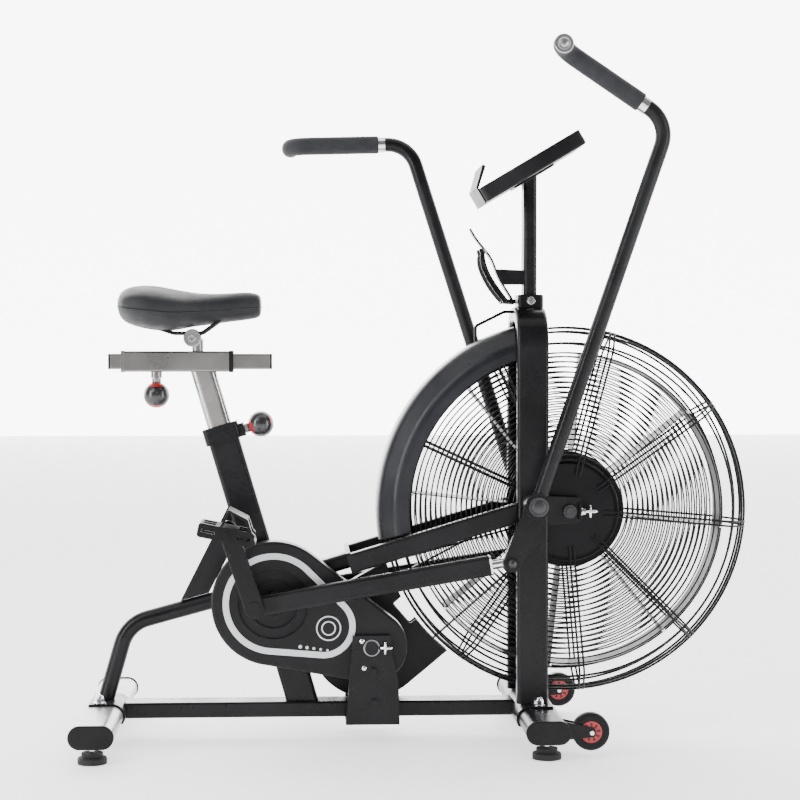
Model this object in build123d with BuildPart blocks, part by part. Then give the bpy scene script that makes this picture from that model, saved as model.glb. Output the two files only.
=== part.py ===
from build123d import *
from math import atan2, cos, degrees, hypot, radians, sin, sqrt
import os

# Air bike: a fan-braked exercise bike with swinging handles, an adjustable saddle and a wire fan cage.
# Frame: +Z up, the rider faces +X, the rider's right side is -Y. The origin is on the floor, under the
# middle of the bike. All sizes are in millimetres.

os.makedirs("parts", exist_ok=True)

RIGHT = -1
LEFT = 1

# ---------------------------------------------------------------- driving dimensions
RUN_FIT = 0.05            # radial clearance of a shaft in its bush
GAP = 0.3                 # clearance between sliding or passing pieces
WALL = 2.5                # wall of the structural tubes

REAR_FOOT_X = -605.0      # centres of the two stabiliser tubes
FRONT_FOOT_X = 228.5
FOOT_TUBE_Z = 52.0
FOOT_TUBE = (80.0, 40.0)
FOOT_TUBE_HALF = 262.0
FOOT_Y = 235.0

BEAM_Z = (42.0, 72.0)
BEAM_HALF = 30.0
BRACKET_T = 4.0
BRACKET_TOP = FOOT_TUBE_Z + FOOT_TUBE[1] / 2 + 0.2 + BRACKET_T

SEAT_ANGLE = 16.6         # seat tube leans back from the vertical
SEAT_BASE = (-222.7, 73.0)
SEAT_TUBE = (60.0, 40.0)
SEAT_POST = (47.0, 30.0)
COLLAR_S = (525.6, 558.0)  # collar's stretch along the seat tube
HEIGHT_KNOB_S = 538.0     # height knob, along the seat tube
POST_S = (330.0, 690.0)

BB = (-277.0, 269.0)      # crank axis
ROD_THROW = 35.0          # with the lean and the swing, gives both rods the same length
CRANK_THROW = 170.0
PEDAL_ANGLE = 119.9       # of the right pedal, from +X, at rest
JACK = (-89.5, 184.3)     # intermediate shaft
FAN = (291.0, 444.5)      # fan axis
PIVOT = (222.0, 459.0)    # handle pivots
LEVER = 118.0
LEVER_LEAN = 6.45         # of the lower lever, rearwards, with the handle at mid swing
SWING = 17.7              # half of the handle's swing

POST_X = (189.0, 249.0)   # uprights beside the fan
POST_Y = (70.0, 100.0)
ARCH_TOP = 838.0
MAST_X = 222.0
MAST = (26.0, 50.0)
RAIL_SLOPE = 16.7

CAGE_R = 356.0
STAND_Y = (84.0, 89.0)    # plates of the intermediate shaft's stand
STAND_BOLTS = ((-86.0, 140.0), (-84.0, 80.0))
SHROUD_R = 369.0
WHEEL_AXIS = (311.0, 48.0)
WHEEL_Y = 225.0

# layers across the drive, measured outwards from the middle
WEB_Y = (86.0, 98.0)      # inner crank web
ROD_Y = (104.0, 128.0)    # push rod
ARM_Y = (130.0, 144.0)    # outer crank arm
LEVER_Y = (130.0, 146.0)  # lower lever of the handle
SLEEVE_Y = (103.0, 158.0)  # handle hub


# ---------------------------------------------------------------- helpers
def save(builder, name):
    builder.part.label = name
    export_step(builder.part, f"parts/{name}.step")


def side_plane(y0, y1):
    """Plane whose +normal is -Y, at the greater of two Y values: an extrusion fills the layer."""
    return Plane.XZ.offset(-max(y0, y1))


def point_on(centre, angle, radius):
    return (centre[0] + radius * cos(radians(angle)), centre[1] + radius * sin(radians(angle)))


def seat_plane(along):
    """Plane across the seat tube, `along` mm up its axis from the beam, with x forwards."""
    lean = radians(SEAT_ANGLE)
    origin = (SEAT_BASE[0] - along * sin(lean), 0, SEAT_BASE[1] + along * cos(lean))
    return Plane(origin=origin, x_dir=(cos(lean), 0, sin(lean)), z_dir=(-sin(lean), 0, cos(lean)))


def belt_part(big, big_r, small, small_r, y0, y1):
    """Solid with the outline of a belt round two pulleys, filling one layer."""
    angle = degrees(atan2(small[1] - big[1], small[0] - big[0]))
    distance = hypot(small[0] - big[0], small[1] - big[1])
    spread = degrees(atan2(sqrt(distance ** 2 - (big_r - small_r) ** 2), big_r - small_r))
    with BuildPart() as belt:
        with BuildSketch(side_plane(y0, y1)):
            with Locations(big):
                Circle(big_r)
            with Locations(small):
                Circle(small_r)
            with BuildLine():
                Polyline(point_on(big, angle + spread, big_r), point_on(small, angle + spread, small_r),
                         point_on(small, angle - spread, small_r), point_on(big, angle - spread, big_r),
                         close=True)
            make_face()
        extrude(amount=abs(y1 - y0))
    return belt.part


def ring_part(centre, y0, y1, outer, inner):
    """Washer, tube or bearing with its axis along Y."""
    with BuildPart() as ring:
        with BuildSketch(side_plane(y0, y1)):
            with Locations(centre):
                Circle(outer)
                if inner:
                    Circle(inner, mode=Mode.SUBTRACT)
        extrude(amount=abs(y1 - y0))
    return ring.part


def slope_dir():
    return (cos(radians(RAIL_SLOPE)), sin(radians(RAIL_SLOPE)))


def rail_point(x):
    """Centre line of the rising frame members, as (x, z)."""
    return (x, 347.5 + (x + 125) * sin(radians(RAIL_SLOPE)) / cos(radians(RAIL_SLOPE)))


def group(name, solids):
    with BuildPart() as parts:
        for solid in solids:
            add(solid)
    save(parts, name)


# ---------------------------------------------------------------- base
def make_stabiliser(name, x):
    with BuildPart() as tube:
        with BuildSketch(side_plane(-FOOT_TUBE_HALF, FOOT_TUBE_HALF)):
            with Locations((x, FOOT_TUBE_Z)):
                SlotOverall(*FOOT_TUBE)
                SlotOverall(FOOT_TUBE[0] - 2 * WALL, FOOT_TUBE[1] - 2 * WALL, mode=Mode.SUBTRACT)
        extrude(amount=2 * FOOT_TUBE_HALF)
        with BuildSketch(Plane.XY.offset(FOOT_TUBE_Z - FOOT_TUBE[1])):
            with Locations((x, FOOT_Y), (x, -FOOT_Y)):
                Circle(5 + GAP)
        extrude(amount=FOOT_TUBE[1], mode=Mode.SUBTRACT)
    save(tube, name)


make_stabiliser("rear_stabilizer", REAR_FOOT_X)
make_stabiliser("front_stabilizer", FRONT_FOOT_X)

CAP_T = 6.0
PLUG_T = 18.0
FEET = [(x, y) for x in (REAR_FOOT_X, FRONT_FOOT_X) for y in (-FOOT_Y, FOOT_Y)]

caps = []
for cap_x, cap_y in FEET:
    side = 1 if cap_y > 0 else -1
    with BuildPart() as cap:
        with BuildSketch(side_plane(side * FOOT_TUBE_HALF, side * (FOOT_TUBE_HALF + CAP_T))):
            with Locations((cap_x, FOOT_TUBE_Z)):
                SlotOverall(FOOT_TUBE[0] + 4, FOOT_TUBE[1] + 4)
        extrude(amount=CAP_T)
        outer_face = cap.faces().sort_by(Axis.Y)[-1 if side > 0 else 0]
        fillet(outer_face.edges(), 2.5)
        with BuildSketch(side_plane(side * FOOT_TUBE_HALF, side * (FOOT_TUBE_HALF - PLUG_T))):
            with Locations((cap_x, FOOT_TUBE_Z)):
                SlotOverall(FOOT_TUBE[0] - 2 * WALL - 0.4, FOOT_TUBE[1] - 2 * WALL - 0.4)
        extrude(amount=PLUG_T)
    caps.append(cap.part)
group("stabilizer_caps", caps)

pads = []
screws = []
for foot_x, foot_y in FEET:
    with BuildPart() as pad:
        with BuildSketch(Plane.XY):
            with Locations((foot_x, foot_y)):
                Circle(27)
        extrude(amount=12)
        fillet(pad.edges().group_by(Axis.Z)[-1], 3)
        with BuildSketch(Plane.XY.offset(12)):
            with Locations((foot_x, foot_y)):
                Circle(20)
        extrude(amount=8)
        with BuildSketch(Plane.XY.offset(8)):
            with Locations((foot_x, foot_y)):
                Circle(5)
        extrude(amount=12, mode=Mode.SUBTRACT)
    pads.append(pad.part)
    with BuildPart() as stud:
        with BuildSketch(Plane.XY.offset(8)):
            with Locations((foot_x, foot_y)):
                Circle(5)
        extrude(amount=38)
    screws.append(stud.part)
    with BuildPart() as nut:
        with BuildSketch(Plane.XY.offset(24.5)):
            with Locations((foot_x, foot_y)):
                RegularPolygon(9, 6)
                Circle(5 + RUN_FIT, mode=Mode.SUBTRACT)
        extrude(amount=7)
    screws.append(nut.part)
group("foot_pads", pads)
group("foot_screws", screws)

with BuildPart() as base_beam:
    beam_x = (REAR_FOOT_X + FOOT_TUBE[0] / 2 + 1, FRONT_FOOT_X - FOOT_TUBE[0] / 2 - 1)
    with BuildSketch(Plane.YZ.offset(beam_x[0])):
        with Locations((0, sum(BEAM_Z) / 2)):
            RectangleRounded(2 * BEAM_HALF, BEAM_Z[1] - BEAM_Z[0], 4)
            RectangleRounded(2 * (BEAM_HALF - WALL), BEAM_Z[1] - BEAM_Z[0] - 2 * WALL, 2, mode=Mode.SUBTRACT)
    extrude(amount=beam_x[1] - beam_x[0])
    for bracket_x, half in ((REAR_FOOT_X, 62), (FRONT_FOOT_X, 128)):
        inner = 1 if bracket_x < 0 else -1
        with BuildSketch(side_plane(-half, half)):
            with Locations((bracket_x, FOOT_TUBE_Z)):
                SlotOverall(FOOT_TUBE[0] + 0.4 + 2 * BRACKET_T, FOOT_TUBE[1] + 0.4 + 2 * BRACKET_T)
                SlotOverall(FOOT_TUBE[0] + 0.4, FOOT_TUBE[1] + 0.4, mode=Mode.SUBTRACT)
            with Locations((bracket_x + inner * 10, FOOT_TUBE_Z + 18)):
                Rectangle(72, 64, mode=Mode.INTERSECT)
        extrude(amount=2 * half)
save(base_beam, "base_beam")

BOLT_SPOTS = [(REAR_FOOT_X - 6, 48), (REAR_FOOT_X - 6, -48), (FRONT_FOOT_X, 115), (FRONT_FOOT_X, -115)]
domes = []
for bolt_x, bolt_y in BOLT_SPOTS:
    with BuildPart() as dome:
        with BuildSketch(Plane.XY.offset(BRACKET_TOP)):
            with Locations((bolt_x, bolt_y)):
                Circle(12)
        extrude(amount=2)
        with BuildSketch(Plane.XY.offset(BRACKET_TOP + 2)):
            with Locations((bolt_x, bolt_y)):
                RegularPolygon(9, 6)
        extrude(amount=8)
        with Locations((bolt_x, bolt_y, BRACKET_TOP + 10)):
            Sphere(7.5)
    domes.append(dome.part)
for bolt_at in ((MAST_X, -33, ARCH_TOP + 12), (STAND_BOLTS[0][0], -STAND_Y[1], STAND_BOLTS[0][1]),
                (STAND_BOLTS[1][0], -STAND_Y[1], STAND_BOLTS[1][1])):
    with BuildPart() as side_bolt:
        with BuildSketch(Plane(origin=bolt_at, x_dir=(1, 0, 0), z_dir=(0, -1, 0))):
            Circle(8)
        extrude(amount=2)
        with BuildSketch(Plane(origin=bolt_at, x_dir=(1, 0, 0), z_dir=(0, -1, 0)).offset(2)):
            RegularPolygon(6.5, 6)
        extrude(amount=5)
    domes.append(side_bolt.part)
group("frame_bolts", domes)


# ---------------------------------------------------------------- rear frame
with BuildPart() as seat_tube:
    with BuildSketch(seat_plane(-20)):
        RectangleRounded(*SEAT_TUBE, 8)
        RectangleRounded(SEAT_TUBE[0] - 2 * WALL, SEAT_TUBE[1] - 2 * WALL, 5.5, mode=Mode.SUBTRACT)
    extrude(amount=COLLAR_S[0] + 20 + 20)
    split(bisect_by=Plane.XY.offset(BEAM_Z[1]), keep=Keep.TOP)
    with BuildSketch(side_plane(-40, 40)):
        with Locations(BB):
            Circle(22)
    extrude(amount=80, mode=Mode.SUBTRACT)
    with BuildSketch(Plane(seat_plane(HEIGHT_KNOB_S).origin, x_dir=(0, 1, 0), z_dir=seat_plane(0).x_dir)):
        Circle(5 + GAP)
    extrude(amount=SEAT_TUBE[0], mode=Mode.SUBTRACT)

with BuildPart() as seat_collar:
    with BuildSketch(seat_plane(COLLAR_S[0])):
        RectangleRounded(70, 50, 9)
    extrude(amount=COLLAR_S[1] - COLLAR_S[0])
    fillet(seat_collar.faces().sort_by(Axis.Z)[-1].edges(), 1.5)
    with BuildSketch(Plane(seat_plane(HEIGHT_KNOB_S).origin, x_dir=(0, 1, 0),
                           z_dir=seat_plane(0).x_dir).offset(34)):
        RectangleRounded(34, 26, 6)
    extrude(amount=11)
    with BuildSketch(seat_plane(COLLAR_S[0])):
        RectangleRounded(*SEAT_TUBE, 8)
    extrude(amount=20, mode=Mode.SUBTRACT)
    with BuildSketch(seat_plane(COLLAR_S[0])):
        RectangleRounded(SEAT_POST[0] + 2 * GAP, SEAT_POST[1] + 2 * GAP, 12.3)
    extrude(amount=60, mode=Mode.SUBTRACT)
    with BuildSketch(Plane(seat_plane(HEIGHT_KNOB_S).origin, x_dir=(0, 1, 0), z_dir=seat_plane(0).x_dir)):
        Circle(5 + GAP)
    extrude(amount=SEAT_TUBE[0], mode=Mode.SUBTRACT)
group("seat_tube", [seat_tube.part, seat_collar.part])


def seat_tube_cope():
    """Solid of the seat tube's side outline, cut from the members that butt against the tube."""
    with BuildPart() as cope:
        with BuildSketch(seat_plane(-20)):
            RectangleRounded(SEAT_TUBE[0], SEAT_TUBE[1] + 20, 8)
        extrude(amount=COLLAR_S[0] + 20)
    return cope.part


STAY_R = 16.0
with BuildPart() as rear_stay:
    stay_end = (-295.0, 294.0)
    with BuildLine() as stay_path:
        FilletPolyline((-603, 0, BRACKET_TOP), (-561, 0, 222), (stay_end[0], 0, stay_end[1]), radius=70)
    with BuildSketch(Plane(stay_path.line @ 0, z_dir=stay_path.line % 0)):
        Circle(STAY_R)
        Circle(STAY_R - WALL, mode=Mode.SUBTRACT)
    sweep()
    split(bisect_by=Plane.XY.offset(BRACKET_TOP), keep=Keep.TOP)
    add(seat_tube_cope(), mode=Mode.SUBTRACT)
    stay_piece = rear_stay.part.solids().sort_by(Axis.X)[0]

with BuildPart() as stay_brace:
    brace_y = (-13, 13)
    with BuildSketch(side_plane(*brace_y)):
        with BuildLine():
            Polyline((-458, 268), (-365, 452), (-345, 452), (-345, 395), (-403, 283), close=True)
        make_face()
    extrude(amount=brace_y[1] - brace_y[0])
    add(seat_tube_cope(), mode=Mode.SUBTRACT)
    with BuildSketch(Plane(origin=(-561, 0, 222), z_dir=(-295 + 561, 0, 294 - 222))):
        Circle(STAY_R)
    extrude(amount=300, mode=Mode.SUBTRACT)
    brace_piece = stay_brace.part.solids().sort_by(SortBy.VOLUME)[-1]
group("rear_stay", [stay_piece, brace_piece])


RAIL_X = (-125.0, POST_X[0])
STUB_H = 30.0
YOKE_T = 8.0
STUB_START_X = -290.0
with BuildPart() as front_tube:
    start = rail_point(STUB_START_X)
    with BuildSketch(Plane(origin=(start[0], 0, start[1]), x_dir=(0, 1, 0),
                           z_dir=(slope_dir()[0], 0, slope_dir()[1]))):
        RectangleRounded(50, STUB_H, 8)
        RectangleRounded(50 - 2 * WALL, STUB_H - 2 * WALL, 5, mode=Mode.SUBTRACT)
    extrude(amount=(RAIL_X[0] - start[0]) / slope_dir()[0] - YOKE_T)
    add(seat_tube_cope(), mode=Mode.SUBTRACT)
    tube_piece = front_tube.part.solids().sort_by(Axis.X)[-1]
with BuildPart() as front_stay:
    add(tube_piece)
    yoke = rail_point(RAIL_X[0] - YOKE_T * slope_dir()[0])
    with BuildSketch(Plane(origin=(yoke[0], 0, yoke[1]), x_dir=(0, 1, 0),
                           z_dir=(slope_dir()[0], 0, slope_dir()[1]))):
        RectangleRounded(2 * 98, 44, 5)
    extrude(amount=YOKE_T)
rails = [front_stay.part]
for side in (RIGHT, LEFT):
    with BuildPart() as rail:
        start = rail_point(RAIL_X[0])
        with BuildSketch(Plane(origin=(start[0], side * 85, start[1]), x_dir=(0, 1, 0),
                               z_dir=(slope_dir()[0], 0, slope_dir()[1]))):
            RectangleRounded(26, 38, 5)
            RectangleRounded(26 - 2 * WALL, 38 - 2 * WALL, 3, mode=Mode.SUBTRACT)
        extrude(amount=400)
        split(bisect_by=Plane.YZ.offset(POST_X[0]), keep=Keep.BOTTOM)
    rails.append(rail.part)
group("front_stay", rails)

bearings = [ring_part(BB, -34, 34, 22, 17)]
for side in (RIGHT, LEFT):
    bearings.append(ring_part(BB, side * 20, side * 32, 17 - RUN_FIT, 10 + RUN_FIT))
    bearings.append(ring_part(JACK, side * 80.5, side * 89, 16 - RUN_FIT, 8.5 + RUN_FIT))
group("drive_bearings", bearings)


# ---------------------------------------------------------------- uprights, mast and console
post_mid = sum(POST_Y) / 2
post_w = POST_X[1] - POST_X[0]
post_t = POST_Y[1] - POST_Y[0]
with BuildPart() as upright_arch:
    with BuildLine() as arch_path:
        post_x = sum(POST_X) / 2
        FilletPolyline((post_x, -post_mid, BRACKET_TOP), (post_x, -post_mid, ARCH_TOP - post_t / 2),
                       (post_x, post_mid, ARCH_TOP - post_t / 2), (post_x, post_mid, BRACKET_TOP), radius=62)
    with BuildSketch(Plane.XY.offset(BRACKET_TOP)):
        with Locations((post_x, -post_mid)):
            RectangleRounded(post_w, post_t, 7)
            RectangleRounded(post_w - 2 * WALL, post_t - 2 * WALL, 4.5, mode=Mode.SUBTRACT)
    sweep()
    with BuildSketch(Plane.XY.offset(ARCH_TOP - 4)):
        with Locations((MAST_X, 0)):
            RectangleRounded(50, 66, 8)
    extrude(amount=28)
    fillet(upright_arch.faces().sort_by(Axis.Z)[-1].edges(), 3)
    with BuildSketch(Plane.XY.offset(ARCH_TOP)):
        with Locations((MAST_X, 0)):
            RectangleRounded(MAST[0], MAST[1], 9)
    extrude(amount=30, mode=Mode.SUBTRACT)
CONSOLE_TILT = 30.8
console_centre = (MAST_X - 3, 1106.0)
console_plane = Plane(origin=(console_centre[0], 0, console_centre[1]),
                      x_dir=(cos(radians(CONSOLE_TILT)), 0, sin(radians(CONSOLE_TILT))),
                      z_dir=(-sin(radians(CONSOLE_TILT)), 0, cos(radians(CONSOLE_TILT))))
CONSOLE = (222.0, 190.0, 30.0)
with BuildPart() as mast:
    with BuildSketch(Plane.XY.offset(ARCH_TOP)):
        with Locations((MAST_X, 0)):
            RectangleRounded(MAST[0], MAST[1], 9)
            RectangleRounded(MAST[0] - 2 * WALL, MAST[1] - 2 * WALL, 6.5, mode=Mode.SUBTRACT)
    extrude(amount=300)
    split(bisect_by=console_plane.offset(-CONSOLE[2] / 2 - 2), keep=Keep.BOTTOM)
    with BuildSketch(console_plane.offset(-CONSOLE[2] / 2 - 4)):
        RectangleRounded(90, 80, 6)
    extrude(amount=4)
save(mast, "mast")

with BuildPart() as console_case:
    with BuildSketch(console_plane.offset(-CONSOLE[2] / 2)):
        RectangleRounded(CONSOLE[0], CONSOLE[1], 10)
    extrude(amount=CONSOLE[2])
    fillet(console_case.faces().sort_by(Axis(console_plane.origin, console_plane.z_dir))[0].edges(), 4)
    with BuildSketch(console_plane.offset(CONSOLE[2] / 2 - 3)):
        with Locations((8, 0)):
            RectangleRounded(CONSOLE[0] - 34, CONSOLE[1] - 18, 6)
    extrude(amount=3, mode=Mode.SUBTRACT)

with BuildPart() as console_panel:
    with BuildSketch(console_plane.offset(CONSOLE[2] / 2 - 3)):
        with Locations((8, 0)):
            RectangleRounded(CONSOLE[0] - 34.6, CONSOLE[1] - 18.6, 5.7)
    extrude(amount=2.4)
    with BuildSketch(console_plane.offset(CONSOLE[2] / 2 - 1.6)):
        with Locations((26, 0)):
            RectangleRounded(120, 144, 4)
    extrude(amount=2, mode=Mode.SUBTRACT)
    with BuildSketch(console_plane.offset(CONSOLE[2] / 2 - 0.6)):
        with Locations((-58, 0)):
            with GridLocations(1, 24, 1, 6):
                RectangleRounded(20, 16, 4)
    extrude(amount=1.2)
save(console_panel, "console_panel")

with BuildPart() as console_screen:
    with BuildSketch(console_plane.offset(CONSOLE[2] / 2 - 1.6)):
        with Locations((26, 0)):
            RectangleRounded(119.4, 143.4, 3.7)
    extrude(amount=1.2)
save(console_screen, "console_screen")

with BuildPart() as tablet_ledge:
    ledge_half = 80
    ledge_x = -CONSOLE[0] / 2
    with BuildSketch(Plane(origin=console_plane.origin, x_dir=console_plane.x_dir, z_dir=(0, -1, 0))
                     .offset(-ledge_half)):
        with BuildLine():
            Polyline((ledge_x - 3, -CONSOLE[2] / 2), (ledge_x - 0.2, -CONSOLE[2] / 2), (ledge_x - 0.2, 16),
                     (ledge_x + 34, 46), (ledge_x + 30, 52), (ledge_x + 26, 47.5), (ledge_x - 3, 20),
                     close=True)
        make_face()
    extrude(amount=2 * ledge_half)
group("console_case", [console_case.part, tablet_ledge.part])

# ---------------------------------------------------------------- bottle holder
BOTTLE_R = 36.0
HOLDER_W = 22.0
HOLDER_T = 3.5
# side view of the holder: its spine from the foot to the tip, and the arms that bow out round the bottle
HOLDER_FOOT = (190.0, 846.0)
SPINE = (HOLDER_FOOT, (174, 872), (157, 902), (146, 930), (126, 957), (104, 990))
SPINE_SHIFT = (3.2, 1.8)
ARM_OUTER = ((169, 846), (150, 868), (134, 894), (123, 926), (127, 951))
ARM_INNER = ((176, 853), (160, 874), (144, 899), (134, 926), (133, 946))
HOLDER_BANDS = (((122, 943), (122, 951), (146, 951), (146, 943)),
                ((166, 845), (166, 853), (195, 853), (195, 845)))
with BuildPart() as holder_bracket:
    with BuildSketch(side_plane(-12, 12)):
        with BuildLine():
            Polyline((MAST_X - 13.2, 882), (MAST_X - 13.2, 910), (156, 912), (171, 882), close=True)
        make_face()
    extrude(amount=24)
with BuildPart() as holder_arms:
    with BuildSketch(side_plane(-BOTTLE_R - HOLDER_T, BOTTLE_R + HOLDER_T)):
        with BuildLine():
            outer_curve = Spline(*ARM_OUTER)
            inner_curve = Spline(*ARM_INNER)
            Line(outer_curve @ 0, inner_curve @ 0)
            Line(outer_curve @ 1, inner_curve @ 1)
        make_face()
        for band in HOLDER_BANDS:
            with BuildLine():
                Polyline(*band, close=True)
            make_face()
    extrude(amount=2 * (BOTTLE_R + HOLDER_T))
    arm_axis = Plane(origin=(128, 0, 890), x_dir=(cos(radians(31)), 0, sin(radians(31))),
                     z_dir=(-sin(radians(31)), 0, cos(radians(31))))
    with BuildSketch(arm_axis.offset(-90)):
        Circle(BOTTLE_R + HOLDER_T)
        Circle(BOTTLE_R, mode=Mode.SUBTRACT)
    extrude(amount=180, mode=Mode.INTERSECT)
with BuildPart() as holder_spine:
    with BuildSketch(side_plane(-HOLDER_W / 2, HOLDER_W / 2)):
        with BuildLine():
            front_curve = Spline(*SPINE)
            back_curve = Spline(*[(x + SPINE_SHIFT[0], z + SPINE_SHIFT[1]) for x, z in SPINE])
            Line(front_curve @ 0, back_curve @ 0)
            Line(front_curve @ 1, back_curve @ 1)
        make_face()
    extrude(amount=HOLDER_W)
    with BuildSketch(side_plane(-HOLDER_W / 2, HOLDER_W / 2)):
        with BuildLine():
            Polyline((164, 845), (191, 843), (191, 848), (168, 852), close=True)
        make_face()
    extrude(amount=HOLDER_W)
    add(holder_bracket.part)
    add(holder_arms.part)
save(holder_spine, "bottle_holder")
# ---------------------------------------------------------------- drive, fixed pieces
with BuildPart() as jack_stand:
    for side in (RIGHT, LEFT):
        with BuildSketch(side_plane(side * STAND_Y[0], side * STAND_Y[1])):
            with BuildLine():
                Polyline((-139, 37), (-126, 208), (-54, 208), (-50, 170), (-38, 120), (-36, 37), close=True)
            make_face()
            with Locations(JACK):
                Circle(16, mode=Mode.SUBTRACT)
        extrude(amount=STAND_Y[1] - STAND_Y[0])
    with BuildSketch(Plane.XY.offset(37)):
        with Locations((-87.5, 0)):
            Rectangle(103, 2 * STAND_Y[1])
    extrude(amount=4.9)
save(jack_stand, "jack_stand")

COVER_Y = (36.0, 78.0)
COVER_R = (119.0, 68.7)
with BuildPart() as right_chain_cover:
    add(belt_part(BB, COVER_R[0], JACK, COVER_R[1], -COVER_Y[0], -COVER_Y[1]))
    fillet(right_chain_cover.faces().sort_by(Axis.Y)[0].edges(), 5)
    add(belt_part(BB, COVER_R[0] - 3, JACK, COVER_R[1] - 3, -COVER_Y[0] - 3, -COVER_Y[1] + 4),
        mode=Mode.SUBTRACT)
    add(ring_part(BB, -60, -76, 72, 0))
    add(ring_part(BB, -72, -80, 68, 0), mode=Mode.SUBTRACT)
    add(ring_part(BB, -66, -80, 48, 0), mode=Mode.SUBTRACT)
    add(ring_part(BB, -30, -80, 24, 0), mode=Mode.SUBTRACT)
    add(ring_part(JACK, -30, -41, 14, 0), mode=Mode.SUBTRACT)
    add(ring_part(JACK, -70, -80, 14, 0), mode=Mode.SUBTRACT)
save(right_chain_cover, "right_chain_cover")

INLAY_T = 0.8
STRIPE_SMALL = (-181.0, 225.0)
EMBLEM = (-171.7, 221.3)
with BuildPart() as stripe:
    add(belt_part(BB, 97, STRIPE_SMALL, 61, -COVER_Y[1], -COVER_Y[1] - INLAY_T))
    add(belt_part(BB, 85, STRIPE_SMALL, 49, -COVER_Y[1] + 1, -COVER_Y[1] - INLAY_T - 1), mode=Mode.SUBTRACT)
inlays = [stripe.part, ring_part(EMBLEM, -COVER_Y[1], -COVER_Y[1] - INLAY_T, 24, 21.5),
          ring_part(EMBLEM, -COVER_Y[1], -COVER_Y[1] - INLAY_T, 14, 11.5)]
for dot in range(5):
    centre = (-226 + 13 * dot, 186.5 - 1.8 * dot)
    inlays.append(ring_part(centre, -COVER_Y[1], -COVER_Y[1] - INLAY_T, 3.4 - 0.3 * dot, 0))
group("cover_inlays", inlays)

SECOND_Y = (34.0, 66.0)
with BuildPart() as left_chain_cover:
    add(belt_part(JACK, 118, FAN, 76, SECOND_Y[0], SECOND_Y[1]))
    outline_rims = left_chain_cover.faces().filter_by(Axis.Y).edges()
    fillet(outline_rims, 4)
    add(belt_part(JACK, 115, FAN, 73, SECOND_Y[0] + 3, SECOND_Y[1] - 3), mode=Mode.SUBTRACT)
    add(ring_part(FAN, SECOND_Y[0] - 5, SECOND_Y[1] + 5, CAGE_R + 8, 0), mode=Mode.SUBTRACT)
    add(ring_part(JACK, SECOND_Y[0] - 5, SECOND_Y[1] + 5, 14, 0), mode=Mode.SUBTRACT)
    window_angle = degrees(atan2(FAN[1] - JACK[1], FAN[0] - JACK[0]))
    window = (JACK[0] + 92 * cos(radians(window_angle)) - 6 * sin(radians(window_angle)),
              JACK[1] + 92 * sin(radians(window_angle)) + 6 * cos(radians(window_angle)))
    with BuildSketch(side_plane(SECOND_Y[0] - 5, SECOND_Y[1] + 5)):
        with Locations(Location((*window, 0), (0, 0, window_angle + 6))):
            RectangleRounded(24, 52, 4)
    extrude(amount=SECOND_Y[1] - SECOND_Y[0] + 10, mode=Mode.SUBTRACT)
save(left_chain_cover, "left_chain_cover")

CHAINRING_R = 88.9
JACK_SPROCKET_R = 32.3
SECOND_RING_R = 80.9
FAN_SPROCKET_R = 26.7
FIRST_CHAIN_Y = (-44.0, -52.0)
SECOND_CHAIN_Y = (39.0, 47.0)
CHAIN_T = 4.0
chains = []
for big, big_r, small, small_r, layer in ((BB, CHAINRING_R, JACK, JACK_SPROCKET_R, FIRST_CHAIN_Y),
                                          (JACK, SECOND_RING_R, FAN, FAN_SPROCKET_R, SECOND_CHAIN_Y)):
    with BuildPart() as chain:
        add(belt_part(big, big_r + GAP + CHAIN_T, small, small_r + GAP + CHAIN_T, *layer))
        add(belt_part(big, big_r + GAP, small, small_r + GAP, layer[0] - 10, layer[1] + 10)
            if layer[0] < layer[1] else
            belt_part(big, big_r + GAP, small, small_r + GAP, layer[0] + 10, layer[1] - 10),
            mode=Mode.SUBTRACT)
    chains.append(chain.part)
group("drive_chains", chains)

# ---------------------------------------------------------------- moving drive
with BuildPart() as chainring:
    add(ring_part(BB, -102, 102, 10, 0))
    add(ring_part(BB, -46, -50, CHAINRING_R, 72))
    add(ring_part(BB, -42, -54, 20, 0))
    with BuildSketch(side_plane(-46, -50)):
        with Locations(BB):
            with PolarLocations(0, 5):
                with Locations((45, 0)):
                    SlotOverall(66, 16)
    extrude(amount=4)
save(chainring, "chainring")


def crank_part(side, turn):
    """Crank with its inner web, rod pin and outer arm; `turn` is added to the pedal's rest angle."""
    rod_pin = point_on(BB, 180 + turn, ROD_THROW)
    pedal_pin = point_on(BB, PEDAL_ANGLE + turn, CRANK_THROW)
    with BuildPart() as crank:
        add(belt_part(BB, 19, rod_pin, 17, side * WEB_Y[0], side * WEB_Y[1]))
        add(ring_part(rod_pin, side * WEB_Y[0], side * ARM_Y[1], 10, 0))
        add(belt_part(rod_pin, 18.5, pedal_pin, 17.5, side * ARM_Y[0], side * ARM_Y[1]))
        outer_face = crank.faces().sort_by(Axis.Y)[0 if side < 0 else -1]
        fillet(outer_face.edges(), 2)
        add(ring_part(rod_pin, side * (ARM_Y[1] - 1), side * (ARM_Y[1] + 3), 12, 0))
        add(ring_part(pedal_pin, side * (ARM_Y[1] - 1), side * 246, 6, 0))
        add(ring_part(BB, side * 80, side * 104, 10 + RUN_FIT, 0), mode=Mode.SUBTRACT)
    return crank


save(crank_part(RIGHT, 0), "right_crank")
save(crank_part(LEFT, 180), "left_crank")


CAGE_HALF = 46.5


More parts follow.
